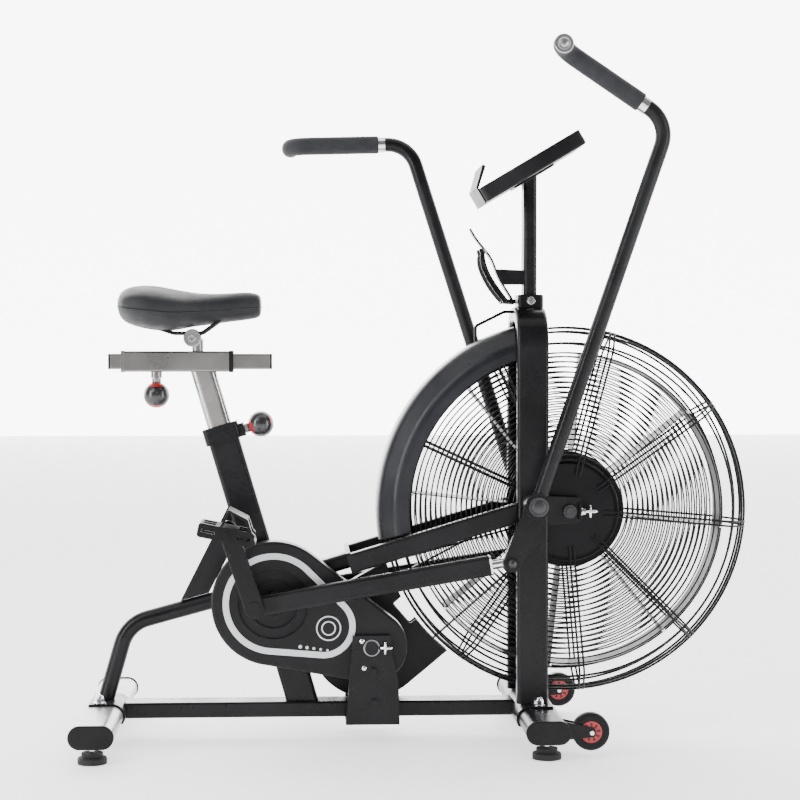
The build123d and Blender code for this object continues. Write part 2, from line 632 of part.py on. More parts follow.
def pedal_part(side, turn):
    centre = point_on(BB, PEDAL_ANGLE + turn, CRANK_THROW)
    layer = (side * 150, side * 244)
    with BuildPart() as pedal:
        with BuildSketch(side_plane(*layer)):
            with Locations(Location((*centre, 0), (0, 0, -12))):
                RectangleRounded(104, 26, 6)
        extrude(amount=94)
        pockets = Plane(origin=(centre[0], side * 197, centre[1]),
                        x_dir=(cos(radians(12)), 0, -sin(radians(12))),
                        z_dir=(sin(radians(12)), 0, cos(radians(12))))
        with BuildSketch(pockets.offset(-20)):
            with Locations((-33, 0), (33, 0)):
                with GridLocations(1, 39, 1, 2):
                    RectangleRounded(24, 31, 4)
        extrude(amount=40, mode=Mode.SUBTRACT)
        with BuildSketch(Plane(origin=pockets.origin, x_dir=pockets.x_dir, z_dir=(0, -1, 0)).offset(-50)):
            with Locations((-33, 0), (33, 0)):
                Rectangle(26, 7)
        extrude(amount=100, mode=Mode.SUBTRACT)
        cage = Plane(origin=pockets.origin, x_dir=pockets.x_dir, z_dir=(0, -1, 0))
        with BuildSketch(cage.offset(-CAGE_HALF)):
            with BuildLine():
                Polyline((-14, 10), (-4, 46.5), (34, 35.5), (57, -5), (52, -9), (31, 31), (-1, 41), (-9, 10),
                         close=True)
            make_face()
        extrude(amount=2 * CAGE_HALF)
        with BuildSketch(cage.offset(-CAGE_HALF + 5)):
            with BuildLine():
                Polyline((-20, 13.05), (-9, 40), (0, 40), (-5, 13.05), close=True)
            make_face()
        extrude(amount=2 * CAGE_HALF - 10, mode=Mode.SUBTRACT)
        with BuildSketch(cage.offset(-26)):
            with BuildLine():
                Polyline((36, 40), (46, 40), (60, 0), (53, 0), (32, 26), close=True)
            make_face()
        extrude(amount=52, mode=Mode.SUBTRACT)
        add(ring_part(centre, side * 140, side * 260, 6 + RUN_FIT, 0), mode=Mode.SUBTRACT)
    return pedal


save(pedal_part(RIGHT, 0), "right_pedal")
save(pedal_part(LEFT, 180), "left_pedal")

with BuildPart() as jackshaft:
    add(ring_part(JACK, -95, 95, 8.5, 0))
    add(ring_part(JACK, -46, -50, JACK_SPROCKET_R, 0))
    add(ring_part(JACK, -40, -56, 18, 0))
    add(ring_part(JACK, 41, 45, SECOND_RING_R, 66))
    add(ring_part(JACK, 38, 50, 20, 0))
    with BuildSketch(side_plane(41, 45)):
        with Locations(JACK):
            with PolarLocations(0, 6):
                with Locations((42, 0)):
                    SlotOverall(56, 14)
    extrude(amount=4)
    for side in (RIGHT, LEFT):
        add(ring_part(JACK, side * 89.5, side * 98, 13, 0))
save(jackshaft, "jackshaft")

# ---------------------------------------------------------------- fan
BLADES = 8
BLADE_START = 38.8
RIM_Y = (-45.0, 35.0)
RIM_R = 306.0
HUB_R = 30.0
HUB_DISC_R = 112.0
with BuildPart() as fan_hub:
    add(ring_part(FAN, RIM_Y[0] + 4, RIM_Y[1] - 3, HUB_R, 0))
    add(ring_part(FAN, -30, -32, HUB_DISC_R, 0))
    add(ring_part(FAN, 26, 28, HUB_DISC_R, 0))
    add(ring_part(FAN, 28, 50, 18, 0))
    add(ring_part(FAN, 41, 45, FAN_SPROCKET_R, 0))
    add(ring_part(FAN, -60, 60, 8.5 + RUN_FIT, 0), mode=Mode.SUBTRACT)

blades = []
for number in range(BLADES):
    angle = BLADE_START + number * 360 / BLADES
    along = (cos(radians(angle)), 0, sin(radians(angle)))
    blade_plane = Plane(origin=(FAN[0], 0, FAN[1]), x_dir=along, z_dir=(-along[2], 0, along[0]))
    with BuildPart() as blade:
        with BuildSketch(blade_plane.offset(-1)):
            with BuildLine():
                Polyline((HUB_R + GAP, -29.7), (HUB_DISC_R + 2, -29.7), (HUB_DISC_R + 14, -44),
                         (RIM_R - 3.4, -44), (RIM_R - 3.4, 34), (HUB_DISC_R + 14, 34),
                         (HUB_DISC_R + 2, 25.7), (HUB_R + GAP, 25.7), close=True)
            make_face()
        extrude(amount=2)
    blades.append(blade.part)
group("fan_blades", blades)

group("fan_hub", [fan_hub.part, ring_part(FAN, *RIM_Y, RIM_R, RIM_R - 3)])

AXLE_R = 8.5
DROP_Y = (80.0, 86.0)
axle_pieces = [ring_part(FAN, -98, 98, AXLE_R, 0)]
dropouts = [upright_arch.part]
for side in (RIGHT, LEFT):
    with BuildPart() as dropout:
        with BuildSketch(side_plane(side * DROP_Y[0], side * DROP_Y[1])):
            with BuildLine():
                Polyline((POST_X[1], FAN[1] - 26), (312, FAN[1] - 22), (312, FAN[1] + 26),
                         (POST_X[1], FAN[1] + 29), close=True)
            make_face()
            with Locations(FAN):
                Circle(AXLE_R + RUN_FIT, mode=Mode.SUBTRACT)
        extrude(amount=6)
        with BuildSketch(Plane.YZ.offset(312)):
            with Locations((side * 93, FAN[1])):
                Rectangle(14, 30)
        extrude(amount=-4)
    dropouts.append(dropout.part)
    axle_pieces.append(ring_part(FAN, side * 86.2, side * 95, 13, AXLE_R + RUN_FIT))
    axle_pieces.append(ring_part(FAN, side * 66, side * 79.8, 14, AXLE_R + RUN_FIT))
    with BuildPart() as tensioner:
        with BuildSketch(Plane.YZ.offset(312.2)):
            with Locations((side * 93, FAN[1])):
                Circle(9)
        extrude(amount=2)
        with BuildSketch(Plane.YZ.offset(314)):
            with Locations((side * 93, FAN[1])):
                RegularPolygon(6.5, 6)
        extrude(amount=6)
        with BuildSketch(Plane.YZ.offset(320)):
            with Locations((side * 93, FAN[1])):
                Circle(3)
        extrude(amount=8)
    axle_pieces.append(tensioner.part)
group("upright_arch", dropouts)
group("fan_axle", axle_pieces)

# ---------------------------------------------------------------- fan cage
GRILLE_WIRE = 1.5
SPOKE_WIRE = 2.0
SPOKE_Y = 65.5
SPOKE_ANGLES = [75 - 40 * number for number in range(9)]
SPOKE_PAIR = 4.5
FACE_R = 306.0
for side, name in ((RIGHT, "right_grille"), (LEFT, "left_grille")):
    wires = []
    for step in range(21):
        radius = 97 + 10 * step
        with BuildPart() as ring_wire:
            with BuildSketch(Plane.XY.offset(FAN[1])):
                with Locations((FAN[0] + radius, side * (SPOKE_Y - SPOKE_WIRE - GRILLE_WIRE - 0.05))):
                    Circle(GRILLE_WIRE)
            revolve(axis=Axis((FAN[0], 0, FAN[1]), (0, 1, 0)))
        wires.append(ring_wire.part)
    disc_y = SPOKE_Y - SPOKE_WIRE - 0.05
    wires.append(ring_part(FAN, side * (disc_y - 2.5), side * disc_y, 90, AXLE_R + 1))
    for angle in SPOKE_ANGLES:
        for offset in (-SPOKE_PAIR, SPOKE_PAIR):
            along = (cos(radians(angle)), 0, sin(radians(angle)))
            across = (-along[2], 0, along[0])
            with BuildPart() as spoke:
                with BuildSketch(Plane(origin=(FAN[0] + 70 * along[0] + offset * across[0], side * SPOKE_Y,
                                               FAN[1] + 70 * along[2] + offset * across[2]), z_dir=along)):
                    Circle(SPOKE_WIRE)
                extrude(amount=FACE_R - 70.05)
            wires.append(spoke.part)
    group(name, wires)

RIB_R = 355.0
HOOPS = [(353.6, 0), (353.6, 20), (353.6, -20), (345.5, 34), (345.5, -34), (323.2, 55), (323.2, -55)]
with BuildPart() as cage_perimeter:
    for hoop_r, hoop_y in HOOPS:
        with BuildSketch(Plane.XY.offset(FAN[1])):
            with Locations((FAN[0] + hoop_r, hoop_y)):
                Circle(2.2)
        revolve(axis=Axis((FAN[0], 0, FAN[1]), (0, 1, 0)))
    for angle in SPOKE_ANGLES:
        for offset in (-SPOKE_PAIR, SPOKE_PAIR):
            along = Vector(cos(radians(angle)), 0, sin(radians(angle)))
            across = Vector(-along.Z, 0, along.X)
            hub = Vector(FAN[0], 0, FAN[1]) + across * offset
            with BuildLine() as rib_path:
                FilletPolyline(hub + along * FACE_R + Vector(0, -SPOKE_Y, 0),
                               hub + along * 318 + Vector(0, -SPOKE_Y, 0),
                               hub + along * RIB_R + Vector(0, -28, 0),
                               hub + along * RIB_R + Vector(0, 28, 0),
                               hub + along * 318 + Vector(0, SPOKE_Y, 0),
                               hub + along * FACE_R + Vector(0, SPOKE_Y, 0), radius=24)
            with BuildSketch(Plane(origin=rib_path.line @ 0, z_dir=along)):
                Circle(SPOKE_WIRE)
            sweep()
save(cage_perimeter, "cage_perimeter")

SHROUD_T = 3.0
with BuildPart() as shroud:
    with BuildSketch(Plane.XY.offset(FAN[1])):
        with BuildLine():
            FilletPolyline((FAN[0] + 308, -74), (FAN[0] + 332, -74), (FAN[0] + SHROUD_R, -44),
                           (FAN[0] + SHROUD_R, 44), (FAN[0] + 332, 74), (FAN[0] + 308, 74), radius=26)
            Line((FAN[0] + 308, 74), (FAN[0] + 308, 71))
            FilletPolyline((FAN[0] + 308, 71), (FAN[0] + 330.8, 71), (FAN[0] + SHROUD_R - SHROUD_T, 42.6),
                           (FAN[0] + SHROUD_R - SHROUD_T, -42.6), (FAN[0] + 330.8, -71), (FAN[0] + 308, -71),
                           radius=23)
            Line((FAN[0] + 308, -71), (FAN[0] + 308, -74))
        make_face()
    revolve(axis=Axis((FAN[0], 0, FAN[1]), (0, 1, 0)))
    split(bisect_by=Plane.YZ.offset(POST_X[0] - 0.6), keep=Keep.BOTTOM)
    rail_top = rail_point(0)
    split(bisect_by=Plane(origin=(rail_top[0], 0, rail_top[1] + 24), x_dir=(0, 1, 0),
                          z_dir=(-slope_dir()[1], 0, slope_dir()[0])), keep=Keep.TOP)
save(shroud, "shroud")


# ---------------------------------------------------------------- push rods
ROD_TALL = 38.0
ROD_MID_Y = sum(ROD_Y) / 2
ROD_WIDE = ROD_Y[1] - ROD_Y[0]
EYE_R = 22.0


def lever_end(side):
    lean = radians(LEVER_LEAN - side * SWING)
    return (PIVOT[0] - LEVER * sin(lean), PIVOT[1] - LEVER * cos(lean))


RIGHT_EYE = point_on(BB, 180, ROD_THROW)
RIGHT_PIN = lever_end(RIGHT)
ROD_LENGTH = hypot(RIGHT_PIN[0] - RIGHT_EYE[0], RIGHT_PIN[1] - RIGHT_EYE[1])
ROD_END_S = ROD_LENGTH - 40.0   # where the tube stops and the rod end starts

for side, turn, name in ((RIGHT, 180, "right_rod"), (LEFT, 0, "left_rod")):
    eye = point_on(BB, turn, ROD_THROW)
    tip = lever_end(side)
    slope = atan2(tip[1] - eye[1], tip[0] - eye[0])
    along = (cos(slope), 0, sin(slope))
    rod_base = Plane(origin=(eye[0], side * ROD_MID_Y, eye[1]), x_dir=(0, 1, 0), z_dir=along)
    with BuildPart() as rod:
        with BuildSketch(rod_base.offset(8)):
            RectangleRounded(ROD_WIDE, ROD_TALL, 6)
            RectangleRounded(ROD_WIDE - 2 * WALL, ROD_TALL - 2 * WALL, 3.5, mode=Mode.SUBTRACT)
        extrude(amount=ROD_END_S - 8)
        add(ring_part(eye, side * ROD_Y[0], side * ROD_Y[1], EYE_R, 0))
        add(ring_part(eye, side * ROD_Y[0], side * ROD_Y[1], 10 + RUN_FIT, 0), mode=Mode.SUBTRACT)
    save(rod, name)
    pin_at = (eye[0] + ROD_LENGTH * along[0], eye[1] + ROD_LENGTH * along[2])
    with BuildPart() as rod_end:
        with BuildSketch(rod_base.offset(ROD_END_S - 22)):
            RectangleRounded(ROD_WIDE - 2 * WALL - 0.2, ROD_TALL - 2 * WALL - 0.2, 3.4)
        extrude(amount=22)
        with BuildSketch(rod_base.offset(ROD_END_S)):
            RectangleRounded(ROD_WIDE, ROD_TALL, 6)
        extrude(amount=4)
        with BuildSketch(rod_base.offset(ROD_END_S + 4)):
            Circle(9)
        extrude(amount=24)
        add(ring_part(pin_at, side * (ROD_MID_Y - 10), side * (ROD_MID_Y + 10), 17, 0))
        add(ring_part(pin_at, side * (ROD_MID_Y - 12), side * (ROD_MID_Y + 12), 7, 0), mode=Mode.SUBTRACT)
    save(rod_end, name + "_end")

# ---------------------------------------------------------------- handles
HANDLE_TUBE_R = 14.3
HANDLE_Y = (139.0, 215.0, 262.0)
HANDLE_CORNER = (6.3, 753.2)
HANDLE_REAR = (-228.2, 821.4)
GRIP_R = 17.9
GRIP_START = 64.4         # past the upper corner of the handle
HANDLE_BENDS = (60.0, 35.0)


def handle_point(side, x, y, z):
    """Point on the handle, given from its pivot with the handle at mid swing."""
    turn = -side * radians(SWING)
    return Vector(PIVOT[0] + x * cos(turn) + z * sin(turn), side * y,
                  PIVOT[1] - x * sin(turn) + z * cos(turn))


def tube_along(path, outer, inner):
    with BuildPart() as tube:
        with BuildSketch(Plane(origin=path @ 0, z_dir=path % 0)):
            Circle(outer)
            Circle(inner, mode=Mode.SUBTRACT)
        sweep(path=path)
    return tube.part


for side, name in ((RIGHT, "right"), (LEFT, "left")):
    foot = handle_point(side, 0, HANDLE_Y[0], 20)
    corner = handle_point(side, HANDLE_CORNER[0], HANDLE_Y[1], HANDLE_CORNER[1])
    rear = handle_point(side, HANDLE_REAR[0], HANDLE_Y[1], HANDLE_REAR[1])
    tip = rear + Vector(0, side * (HANDLE_Y[2] - HANDLE_Y[1]), 0)
    back = (rear - corner).normalized()
    lower_end = corner + back * (GRIP_START - 2)
    with BuildPart(mode=Mode.PRIVATE) as paths:
        with BuildLine() as lower_line:
            FilletPolyline(foot, corner, lower_end, radius=HANDLE_BENDS[0])
        with BuildLine() as upper_line:
            FilletPolyline(lower_end, rear, tip, radius=HANDLE_BENDS[1])
        with BuildLine() as grip_line:
            FilletPolyline(corner + back * GRIP_START, rear, tip, radius=HANDLE_BENDS[1])
    with BuildPart() as handle:
        add(tube_along(lower_line.line, HANDLE_TUBE_R, HANDLE_TUBE_R - 2))
        add(tube_along(upper_line.line, HANDLE_TUBE_R, HANDLE_TUBE_R - 2))
        add(ring_part(PIVOT, side * SLEEVE_Y[0], side * SLEEVE_Y[1], 25, 0))
        add(belt_part(PIVOT, 22, lever_end(side), 17, side * LEVER_Y[0], side * LEVER_Y[1]))
        add(ring_part(lever_end(side), side * LEVER_Y[1], side * (LEVER_Y[1] + 6), 10.5, 0))
        add(ring_part(PIVOT, side * (SLEEVE_Y[0] - 1), side * (SLEEVE_Y[1] + 1), 13, 0), mode=Mode.SUBTRACT)
    bushes = []
    for bush_y in (SLEEVE_Y[0], SLEEVE_Y[1] - 14):
        bushes.append(ring_part(PIVOT, side * bush_y, side * (bush_y + 14), 13, 10 + RUN_FIT))
    group(name + "_handle", [handle.part] + bushes)
    with BuildPart() as chrome_ring:
        with BuildSketch(Plane(origin=corner + back * 50, z_dir=back)):
            Circle(16)
            Circle(HANDLE_TUBE_R, mode=Mode.SUBTRACT)
        extrude(amount=14)
    end_cap = ring_part((tip.X, tip.Z), side * HANDLE_Y[2], side * (HANDLE_Y[2] + 3), 17, 0)
    group(name + "_grip", [tube_along(grip_line.line, GRIP_R, HANDLE_TUBE_R), chrome_ring.part, end_cap])

shafts = []
for side in (RIGHT, LEFT):
    with BuildPart() as shaft:
        add(ring_part(PIVOT, side * POST_Y[1], side * (SLEEVE_Y[1] + GAP), 10, 0))
        add(ring_part(PIVOT, side * POST_Y[1], side * (SLEEVE_Y[0] - GAP), 17, 0))
        add(ring_part(PIVOT, side * (SLEEVE_Y[1] + GAP), side * 166, 19, 0))
        cap_face = shaft.faces().sort_by(Axis.Y)[0 if side < 0 else -1]
        fillet(cap_face.edges(), 2)
    shafts.append(shaft.part)
group("pivot_shafts", shafts)

# ---------------------------------------------------------------- seat post and slider
SLEEVE_X = (-565.0, -363.0)
SLEEVE_Z = (712.0, 752.0)
SLIDE_Z = sum(SLEEVE_Z) / 2
SLOT_X = (-507.0, -383.0)
BAR = 30.0
BAR_X = (-592.0, -284.0)
KNOB_X = -504.0
BOSS_Z = 700.0
PIN_R = 5.0
with BuildPart() as post_tube:
    with BuildSketch(seat_plane(POST_S[0])):
        RectangleRounded(*SEAT_POST, 12)
        RectangleRounded(SEAT_POST[0] - 2 * WALL, SEAT_POST[1] - 2 * WALL, 9.5, mode=Mode.SUBTRACT)
    extrude(amount=POST_S[1] - POST_S[0])
    split(bisect_by=Plane.XY.offset(SLEEVE_Z[0]), keep=Keep.BOTTOM)
with BuildPart() as slider_sleeve:
    with BuildSketch(Plane.YZ.offset(SLEEVE_X[0])):
        with Locations((0, SLIDE_Z)):
            RectangleRounded(40, 40, 4)
            RectangleRounded(34, 34, 1.5, mode=Mode.SUBTRACT)
    extrude(amount=SLEEVE_X[1] - SLEEVE_X[0])
    with BuildSketch(Plane.XY.offset(BOSS_Z)):
        with Locations((KNOB_X, 0)):
            Circle(11)
    extrude(amount=SLEEVE_Z[0] + 1 - BOSS_Z)
    with BuildSketch(Plane.XY.offset(BOSS_Z)):
        with Locations((KNOB_X, 0)):
            Circle(PIN_R + GAP)
    extrude(amount=20, mode=Mode.SUBTRACT)
    with BuildSketch(Plane.XY.offset(SLIDE_Z + 10)):
        with Locations((sum(SLOT_X) / 2, 0)):
            RectangleRounded(SLOT_X[1] - SLOT_X[0], 24, 6)
    extrude(amount=20, mode=Mode.SUBTRACT)
save(post_tube, "seat_post")
save(slider_sleeve, "slider_sleeve")

bushings = []
for plug_x, flange_x in (((SLEEVE_X[0], SLEEVE_X[0] + 20), (SLEEVE_X[0] - 6, SLEEVE_X[0])),
                         ((SLEEVE_X[1] - 18, SLEEVE_X[1]), (SLEEVE_X[1], SLEEVE_X[1] + 8))):
    with BuildPart() as bushing:
        with BuildSketch(Plane.YZ.offset(plug_x[0])):
            with Locations((0, SLIDE_Z)):
                RectangleRounded(34, 34, 1.5)
        extrude(amount=plug_x[1] - plug_x[0])
        with BuildSketch(Plane.YZ.offset(flange_x[0])):
            with Locations((0, SLIDE_Z)):
                RectangleRounded(42, 42, 4)
        extrude(amount=flange_x[1] - flange_x[0])
        with BuildSketch(Plane.YZ.offset(SLEEVE_X[0] - 10)):
            with Locations((0, SLIDE_Z)):
                Rectangle(BAR + 2 * GAP, BAR + 2 * GAP)
        extrude(amount=240, mode=Mode.SUBTRACT)
    bushings.append(bushing.part)
group("slider_bushings", bushings)

STUB_X = -424.0
CLAMP = (-433.5, 777.6)
CLAMP_R = 17.5
with BuildPart() as slider_bar:
    with BuildSketch(Plane.YZ.offset(BAR_X[0])):
        with Locations((0, SLIDE_Z)):
            RectangleRounded(BAR, BAR, 3)
            RectangleRounded(BAR - 2 * WALL, BAR - 2 * WALL, 1, mode=Mode.SUBTRACT)
    extrude(amount=BAR_X[1] - BAR_X[0])
    with BuildSketch(Plane.XY.offset(SLIDE_Z + BAR / 2 - 1)):
        with Locations((STUB_X, 0)):
            Circle(11)
    extrude(amount=30)
    add(ring_part(CLAMP, -18, 18, CLAMP_R + 0.05, 0), mode=Mode.SUBTRACT)
    bar_piece = slider_bar.part.solids().sort_by(SortBy.VOLUME)[-1]
group("slider_bar", [bar_piece])

plugs = []
for plug_x, inwards in ((BAR_X[0], 1), (BAR_X[1], -1)):
    with BuildPart() as plug:
        with BuildSketch(Plane.YZ.offset(plug_x)):
            with Locations((0, SLIDE_Z)):
                RectangleRounded(BAR, BAR, 3)
        extrude(amount=-4 * inwards)
        with BuildSketch(Plane.YZ.offset(plug_x)):
            with Locations((0, SLIDE_Z)):
                RectangleRounded(BAR - 2 * WALL - 0.2, BAR - 2 * WALL - 0.2, 1)
        extrude(amount=12 * inwards)
    plugs.append(plug.part)
group("slider_plugs", plugs)

RAIL_WIRE_R = 3.5
RAIL_Y = 22.0
with BuildPart() as clamp_body:
    add(ring_part(CLAMP, -18, 18, CLAMP_R, 0))
    add(ring_part(CLAMP, -34, 34, 4, 0))
clamp_pieces = [clamp_body.part]
for side in (RIGHT, LEFT):
    clamp_pieces.append(ring_part(CLAMP, side * 25.6, side * 31, 16, 4 + RUN_FIT))
    clamp_pieces.append(ring_part(CLAMP, side * 31.1, side * 36, 7, 4 + RUN_FIT))
group("saddle_clamp", clamp_pieces)

wires = []
for side in (RIGHT, LEFT):
    with BuildPart() as rail_wire:
        with BuildLine() as wire_path:
            FilletPolyline((-530, side * RAIL_Y, 806), (-470, side * RAIL_Y, 786.5),
                           (-415, side * RAIL_Y, 786.5),
                           (-366, side * RAIL_Y, 822), radius=16)
        with BuildSketch(Plane(origin=wire_path.line @ 0, z_dir=wire_path.line % 0)):
            Circle(RAIL_WIRE_R)
        sweep()
    wires.append(rail_wire.part)
group("saddle_rails", wires)

# half widths and heights of the saddle along its length
SADDLE = ((-574, 60, 815, 862), (-545, 108, 796, 876), (-500, 112, 791, 876), (-450, 85, 800, 868),
          (-400, 50, 808, 863), (-350, 34, 815, 866), (-304, 22, 826, 862))
with BuildPart() as saddle:
    for slice_x, half_width, low, high in SADDLE:
        with BuildSketch(Plane.YZ.offset(slice_x)):
            with Locations((0, (low + high) / 2)):
                Ellipse(half_width, (high - low) / 2)
    loft()
save(saddle, "saddle")

KNOB_R = 25.0
height_plane = Plane(origin=seat_plane(HEIGHT_KNOB_S).origin, x_dir=(0, 1, 0), z_dir=seat_plane(0).x_dir)
sleeve_plane = Plane(origin=(KNOB_X, 0, 0), x_dir=(0, 1, 0), z_dir=(0, 0, -1))
# plane, then the distances along it of the pin's tip, the neck and the ball's centre
KNOBS = ((height_plane, SEAT_POST[0] / 2 + 0.5, 45.4, 77.5, "height_knob"),
         (sleeve_plane, -716.5, -699.6, -667, "slider_knob"))
for knob_plane, tip_at, neck_at, ball_at, name in KNOBS:
    with BuildPart() as knob:
        with BuildSketch(knob_plane.offset(tip_at)):
            Circle(PIN_R)
        extrude(amount=ball_at - tip_at)
        with BuildSketch(knob_plane.offset(neck_at)):
            Circle(9)
        extrude(amount=ball_at - neck_at)
        with Locations(knob_plane.offset(ball_at)):
            Sphere(KNOB_R)
    save(knob, name)

# ---------------------------------------------------------------- transport wheels
WHEEL_R = 35.0
WHEEL_W = 24.0
HUB_WHEEL_R = 20.0
brackets = []
for side, name in ((RIGHT, "right_wheel"), (LEFT, "left_wheel")):
    near = side * (WHEEL_Y - WHEEL_W / 2)
    far = side * (WHEEL_Y + WHEEL_W / 2)
    with BuildPart() as tyre:
        add(ring_part(WHEEL_AXIS, near, far, WHEEL_R, HUB_WHEEL_R))
        fillet(tyre.edges().filter_by(GeomType.CIRCLE).group_by(SortBy.RADIUS)[-1], 6)
    group(name, [tyre.part, ring_part(WHEEL_AXIS, near, far, HUB_WHEEL_R - 0.1, 4 + RUN_FIT)])
    brackets.append(ring_part(WHEEL_AXIS, side * (WHEEL_Y - 22), side * (WHEEL_Y + 22), 4, 0))
    for plate_y in (WHEEL_Y - 17, WHEEL_Y + 13):
        with BuildPart() as plate:
            with BuildSketch(side_plane(side * plate_y, side * (plate_y + 4))):
                with BuildLine():
                    Polyline((255, 34), (316, 40), (319, 48), (316, 56), (255, 70), close=True)
                make_face()
                with Locations(WHEEL_AXIS):
                    Circle(4 + RUN_FIT, mode=Mode.SUBTRACT)
                with Locations((FRONT_FOOT_X, FOOT_TUBE_Z)):
                    SlotOverall(*FOOT_TUBE, mode=Mode.SUBTRACT)
            extrude(amount=4)
        brackets.append(plate.part)
group("wheel_brackets", brackets)

# ---------------------------------------------------------------- shroud brace
with BuildPart() as shroud_brace:
    with BuildLine() as brace_path:
        FilletPolyline((POST_X[0] - 0.05, 0, 829), (173, 0, 829), (117, 0, 801), (117, 0, 772), radius=8)
    with BuildSketch(Plane(origin=brace_path.line @ 0, z_dir=brace_path.line % 0)):
        Circle(3)
    sweep()
save(shroud_brace, "shroud_brace")
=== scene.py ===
from math import cos, pi, radians, sin

import bmesh
import bpy
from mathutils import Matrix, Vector


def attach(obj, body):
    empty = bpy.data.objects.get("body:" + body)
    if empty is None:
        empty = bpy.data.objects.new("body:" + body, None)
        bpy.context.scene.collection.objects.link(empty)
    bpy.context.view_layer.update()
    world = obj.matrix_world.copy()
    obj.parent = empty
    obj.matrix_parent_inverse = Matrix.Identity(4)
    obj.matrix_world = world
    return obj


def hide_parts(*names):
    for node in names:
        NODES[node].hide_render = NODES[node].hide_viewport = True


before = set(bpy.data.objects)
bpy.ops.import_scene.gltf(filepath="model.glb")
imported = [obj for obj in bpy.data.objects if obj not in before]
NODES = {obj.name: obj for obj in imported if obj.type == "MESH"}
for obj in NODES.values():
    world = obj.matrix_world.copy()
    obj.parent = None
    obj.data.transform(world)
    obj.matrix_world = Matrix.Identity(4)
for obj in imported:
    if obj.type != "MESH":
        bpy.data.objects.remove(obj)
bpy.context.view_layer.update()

# places below are in metres, in the CAD frame
BB = (-0.277, 0.269)
FAN = (0.291, 0.4445)
PIVOT = (0.222, 0.459)
WHEEL = (0.311, 0.048)
WHEEL_SPOKES = 9
ROOM_LIGHT = 0.25
BACKDROP_LIGHT = 7.0
BACKDROP_Y = 14.0
FLOOR_GLOW = 1.0
CAMERA_AT = (-0.2245, -3.745, 0.745)
CAMERA_PITCH = 1.35       # down, degrees
CAMERA_YAW = 2.96         # towards +X, degrees
CAMERA_LENS = 86.4
BLADE_START = 38.8
RIM_R = 0.306
RIM_NEAR_Y = -0.045
SWING = 17.7              # half of the handles' swing, degrees
LEVER_LEAN = 6.45         # of the lower levers at mid swing, degrees
LEVER = 0.118
HANDLE_CORNER = (0.0063, 0.215, 0.7532)
HANDLE_REAR = (-0.2282, 0.215, 0.8214)


# ---------------------------------------------------------------- materials
def new_material(name, colour, rough, metallic=0.0, specular=0.5, coat=0.0, sheen=0.0):
    mat = bpy.data.materials.new(name)
    mat.use_nodes = True
    shader = mat.node_tree.nodes["Principled BSDF"]
    shader.inputs["Base Color"].default_value = (*colour, 1)
    shader.inputs["Roughness"].default_value = rough
    shader.inputs["Metallic"].default_value = metallic
    shader.inputs["Specular IOR Level"].default_value = specular
    shader.inputs["Coat Weight"].default_value = coat
    shader.inputs["Coat Roughness"].default_value = 0.12
    shader.inputs["Sheen Weight"].default_value = sheen
    return mat, mat.node_tree, shader


def math_node(tree, operation, a, b=None, clamp=False):
    node = tree.nodes.new("ShaderNodeMath")
    node.operation = operation
    node.use_clamp = clamp
    for index, value in enumerate((a, b)):
        if value is None:
            continue
        if isinstance(value, (int, float)):
            node.inputs[index].default_value = value
        else:
            tree.links.new(value, node.inputs[index])
    return node.outputs[0]


def noise(tree, scale, detail=4.0, rough=0.55, stretch=None):
    coords = tree.nodes.new("ShaderNodeTexCoord")
    source = coords.outputs["Object"]
    if stretch:
        mapping = tree.nodes.new("ShaderNodeMapping")
        mapping.inputs["Scale"].default_value = stretch
        tree.links.new(source, mapping.inputs["Vector"])
        source = mapping.outputs[0]
    node = tree.nodes.new("ShaderNodeTexNoise")
    node.inputs["Scale"].default_value = scale
    node.inputs["Detail"].default_value = detail
    node.inputs["Roughness"].default_value = rough
    tree.links.new(source, node.inputs["Vector"])
    return node.outputs["Fac"]


def ramp(tree, value, low, high, start=0.35, end=0.65):
    node = tree.nodes.new("ShaderNodeMapRange")
    node.inputs["From Min"].default_value = start
    node.inputs["From Max"].default_value = end
    node.inputs["To Min"].default_value = low
    node.inputs["To Max"].default_value = high
    tree.links.new(value, node.inputs["Value"])
    return node.outputs["Result"]


def mix_colour(tree, fac, first, second):
    node = tree.nodes.new("ShaderNodeMix")
    node.data_type = "RGBA"
    tree.links.new(fac, node.inputs["Factor"])
    for index, value in ((6, first), (7, second)):
        if isinstance(value, tuple):
            node.inputs[index].default_value = (*value, 1)
        else:
            tree.links.new(value, node.inputs[index])
    return node.outputs[2]


def edge_mask(tree, radius):
    """1 along convex and concave edges, 0 on flats, and the rounded normal."""
    bevel = tree.nodes.new("ShaderNodeBevel")
    bevel.samples = 4
    bevel.inputs["Radius"].default_value = radius
    geometry = tree.nodes.new("ShaderNodeNewGeometry")
    dot = tree.nodes.new("ShaderNodeVectorMath")
    dot.operation = "DOT_PRODUCT"
    tree.links.new(bevel.outputs[0], dot.inputs[0])
    tree.links.new(geometry.outputs["Normal"], dot.inputs[1])
    return ramp(tree, dot.outputs["Value"], 1.0, 0.0, 0.80, 0.995), bevel.outputs[0]


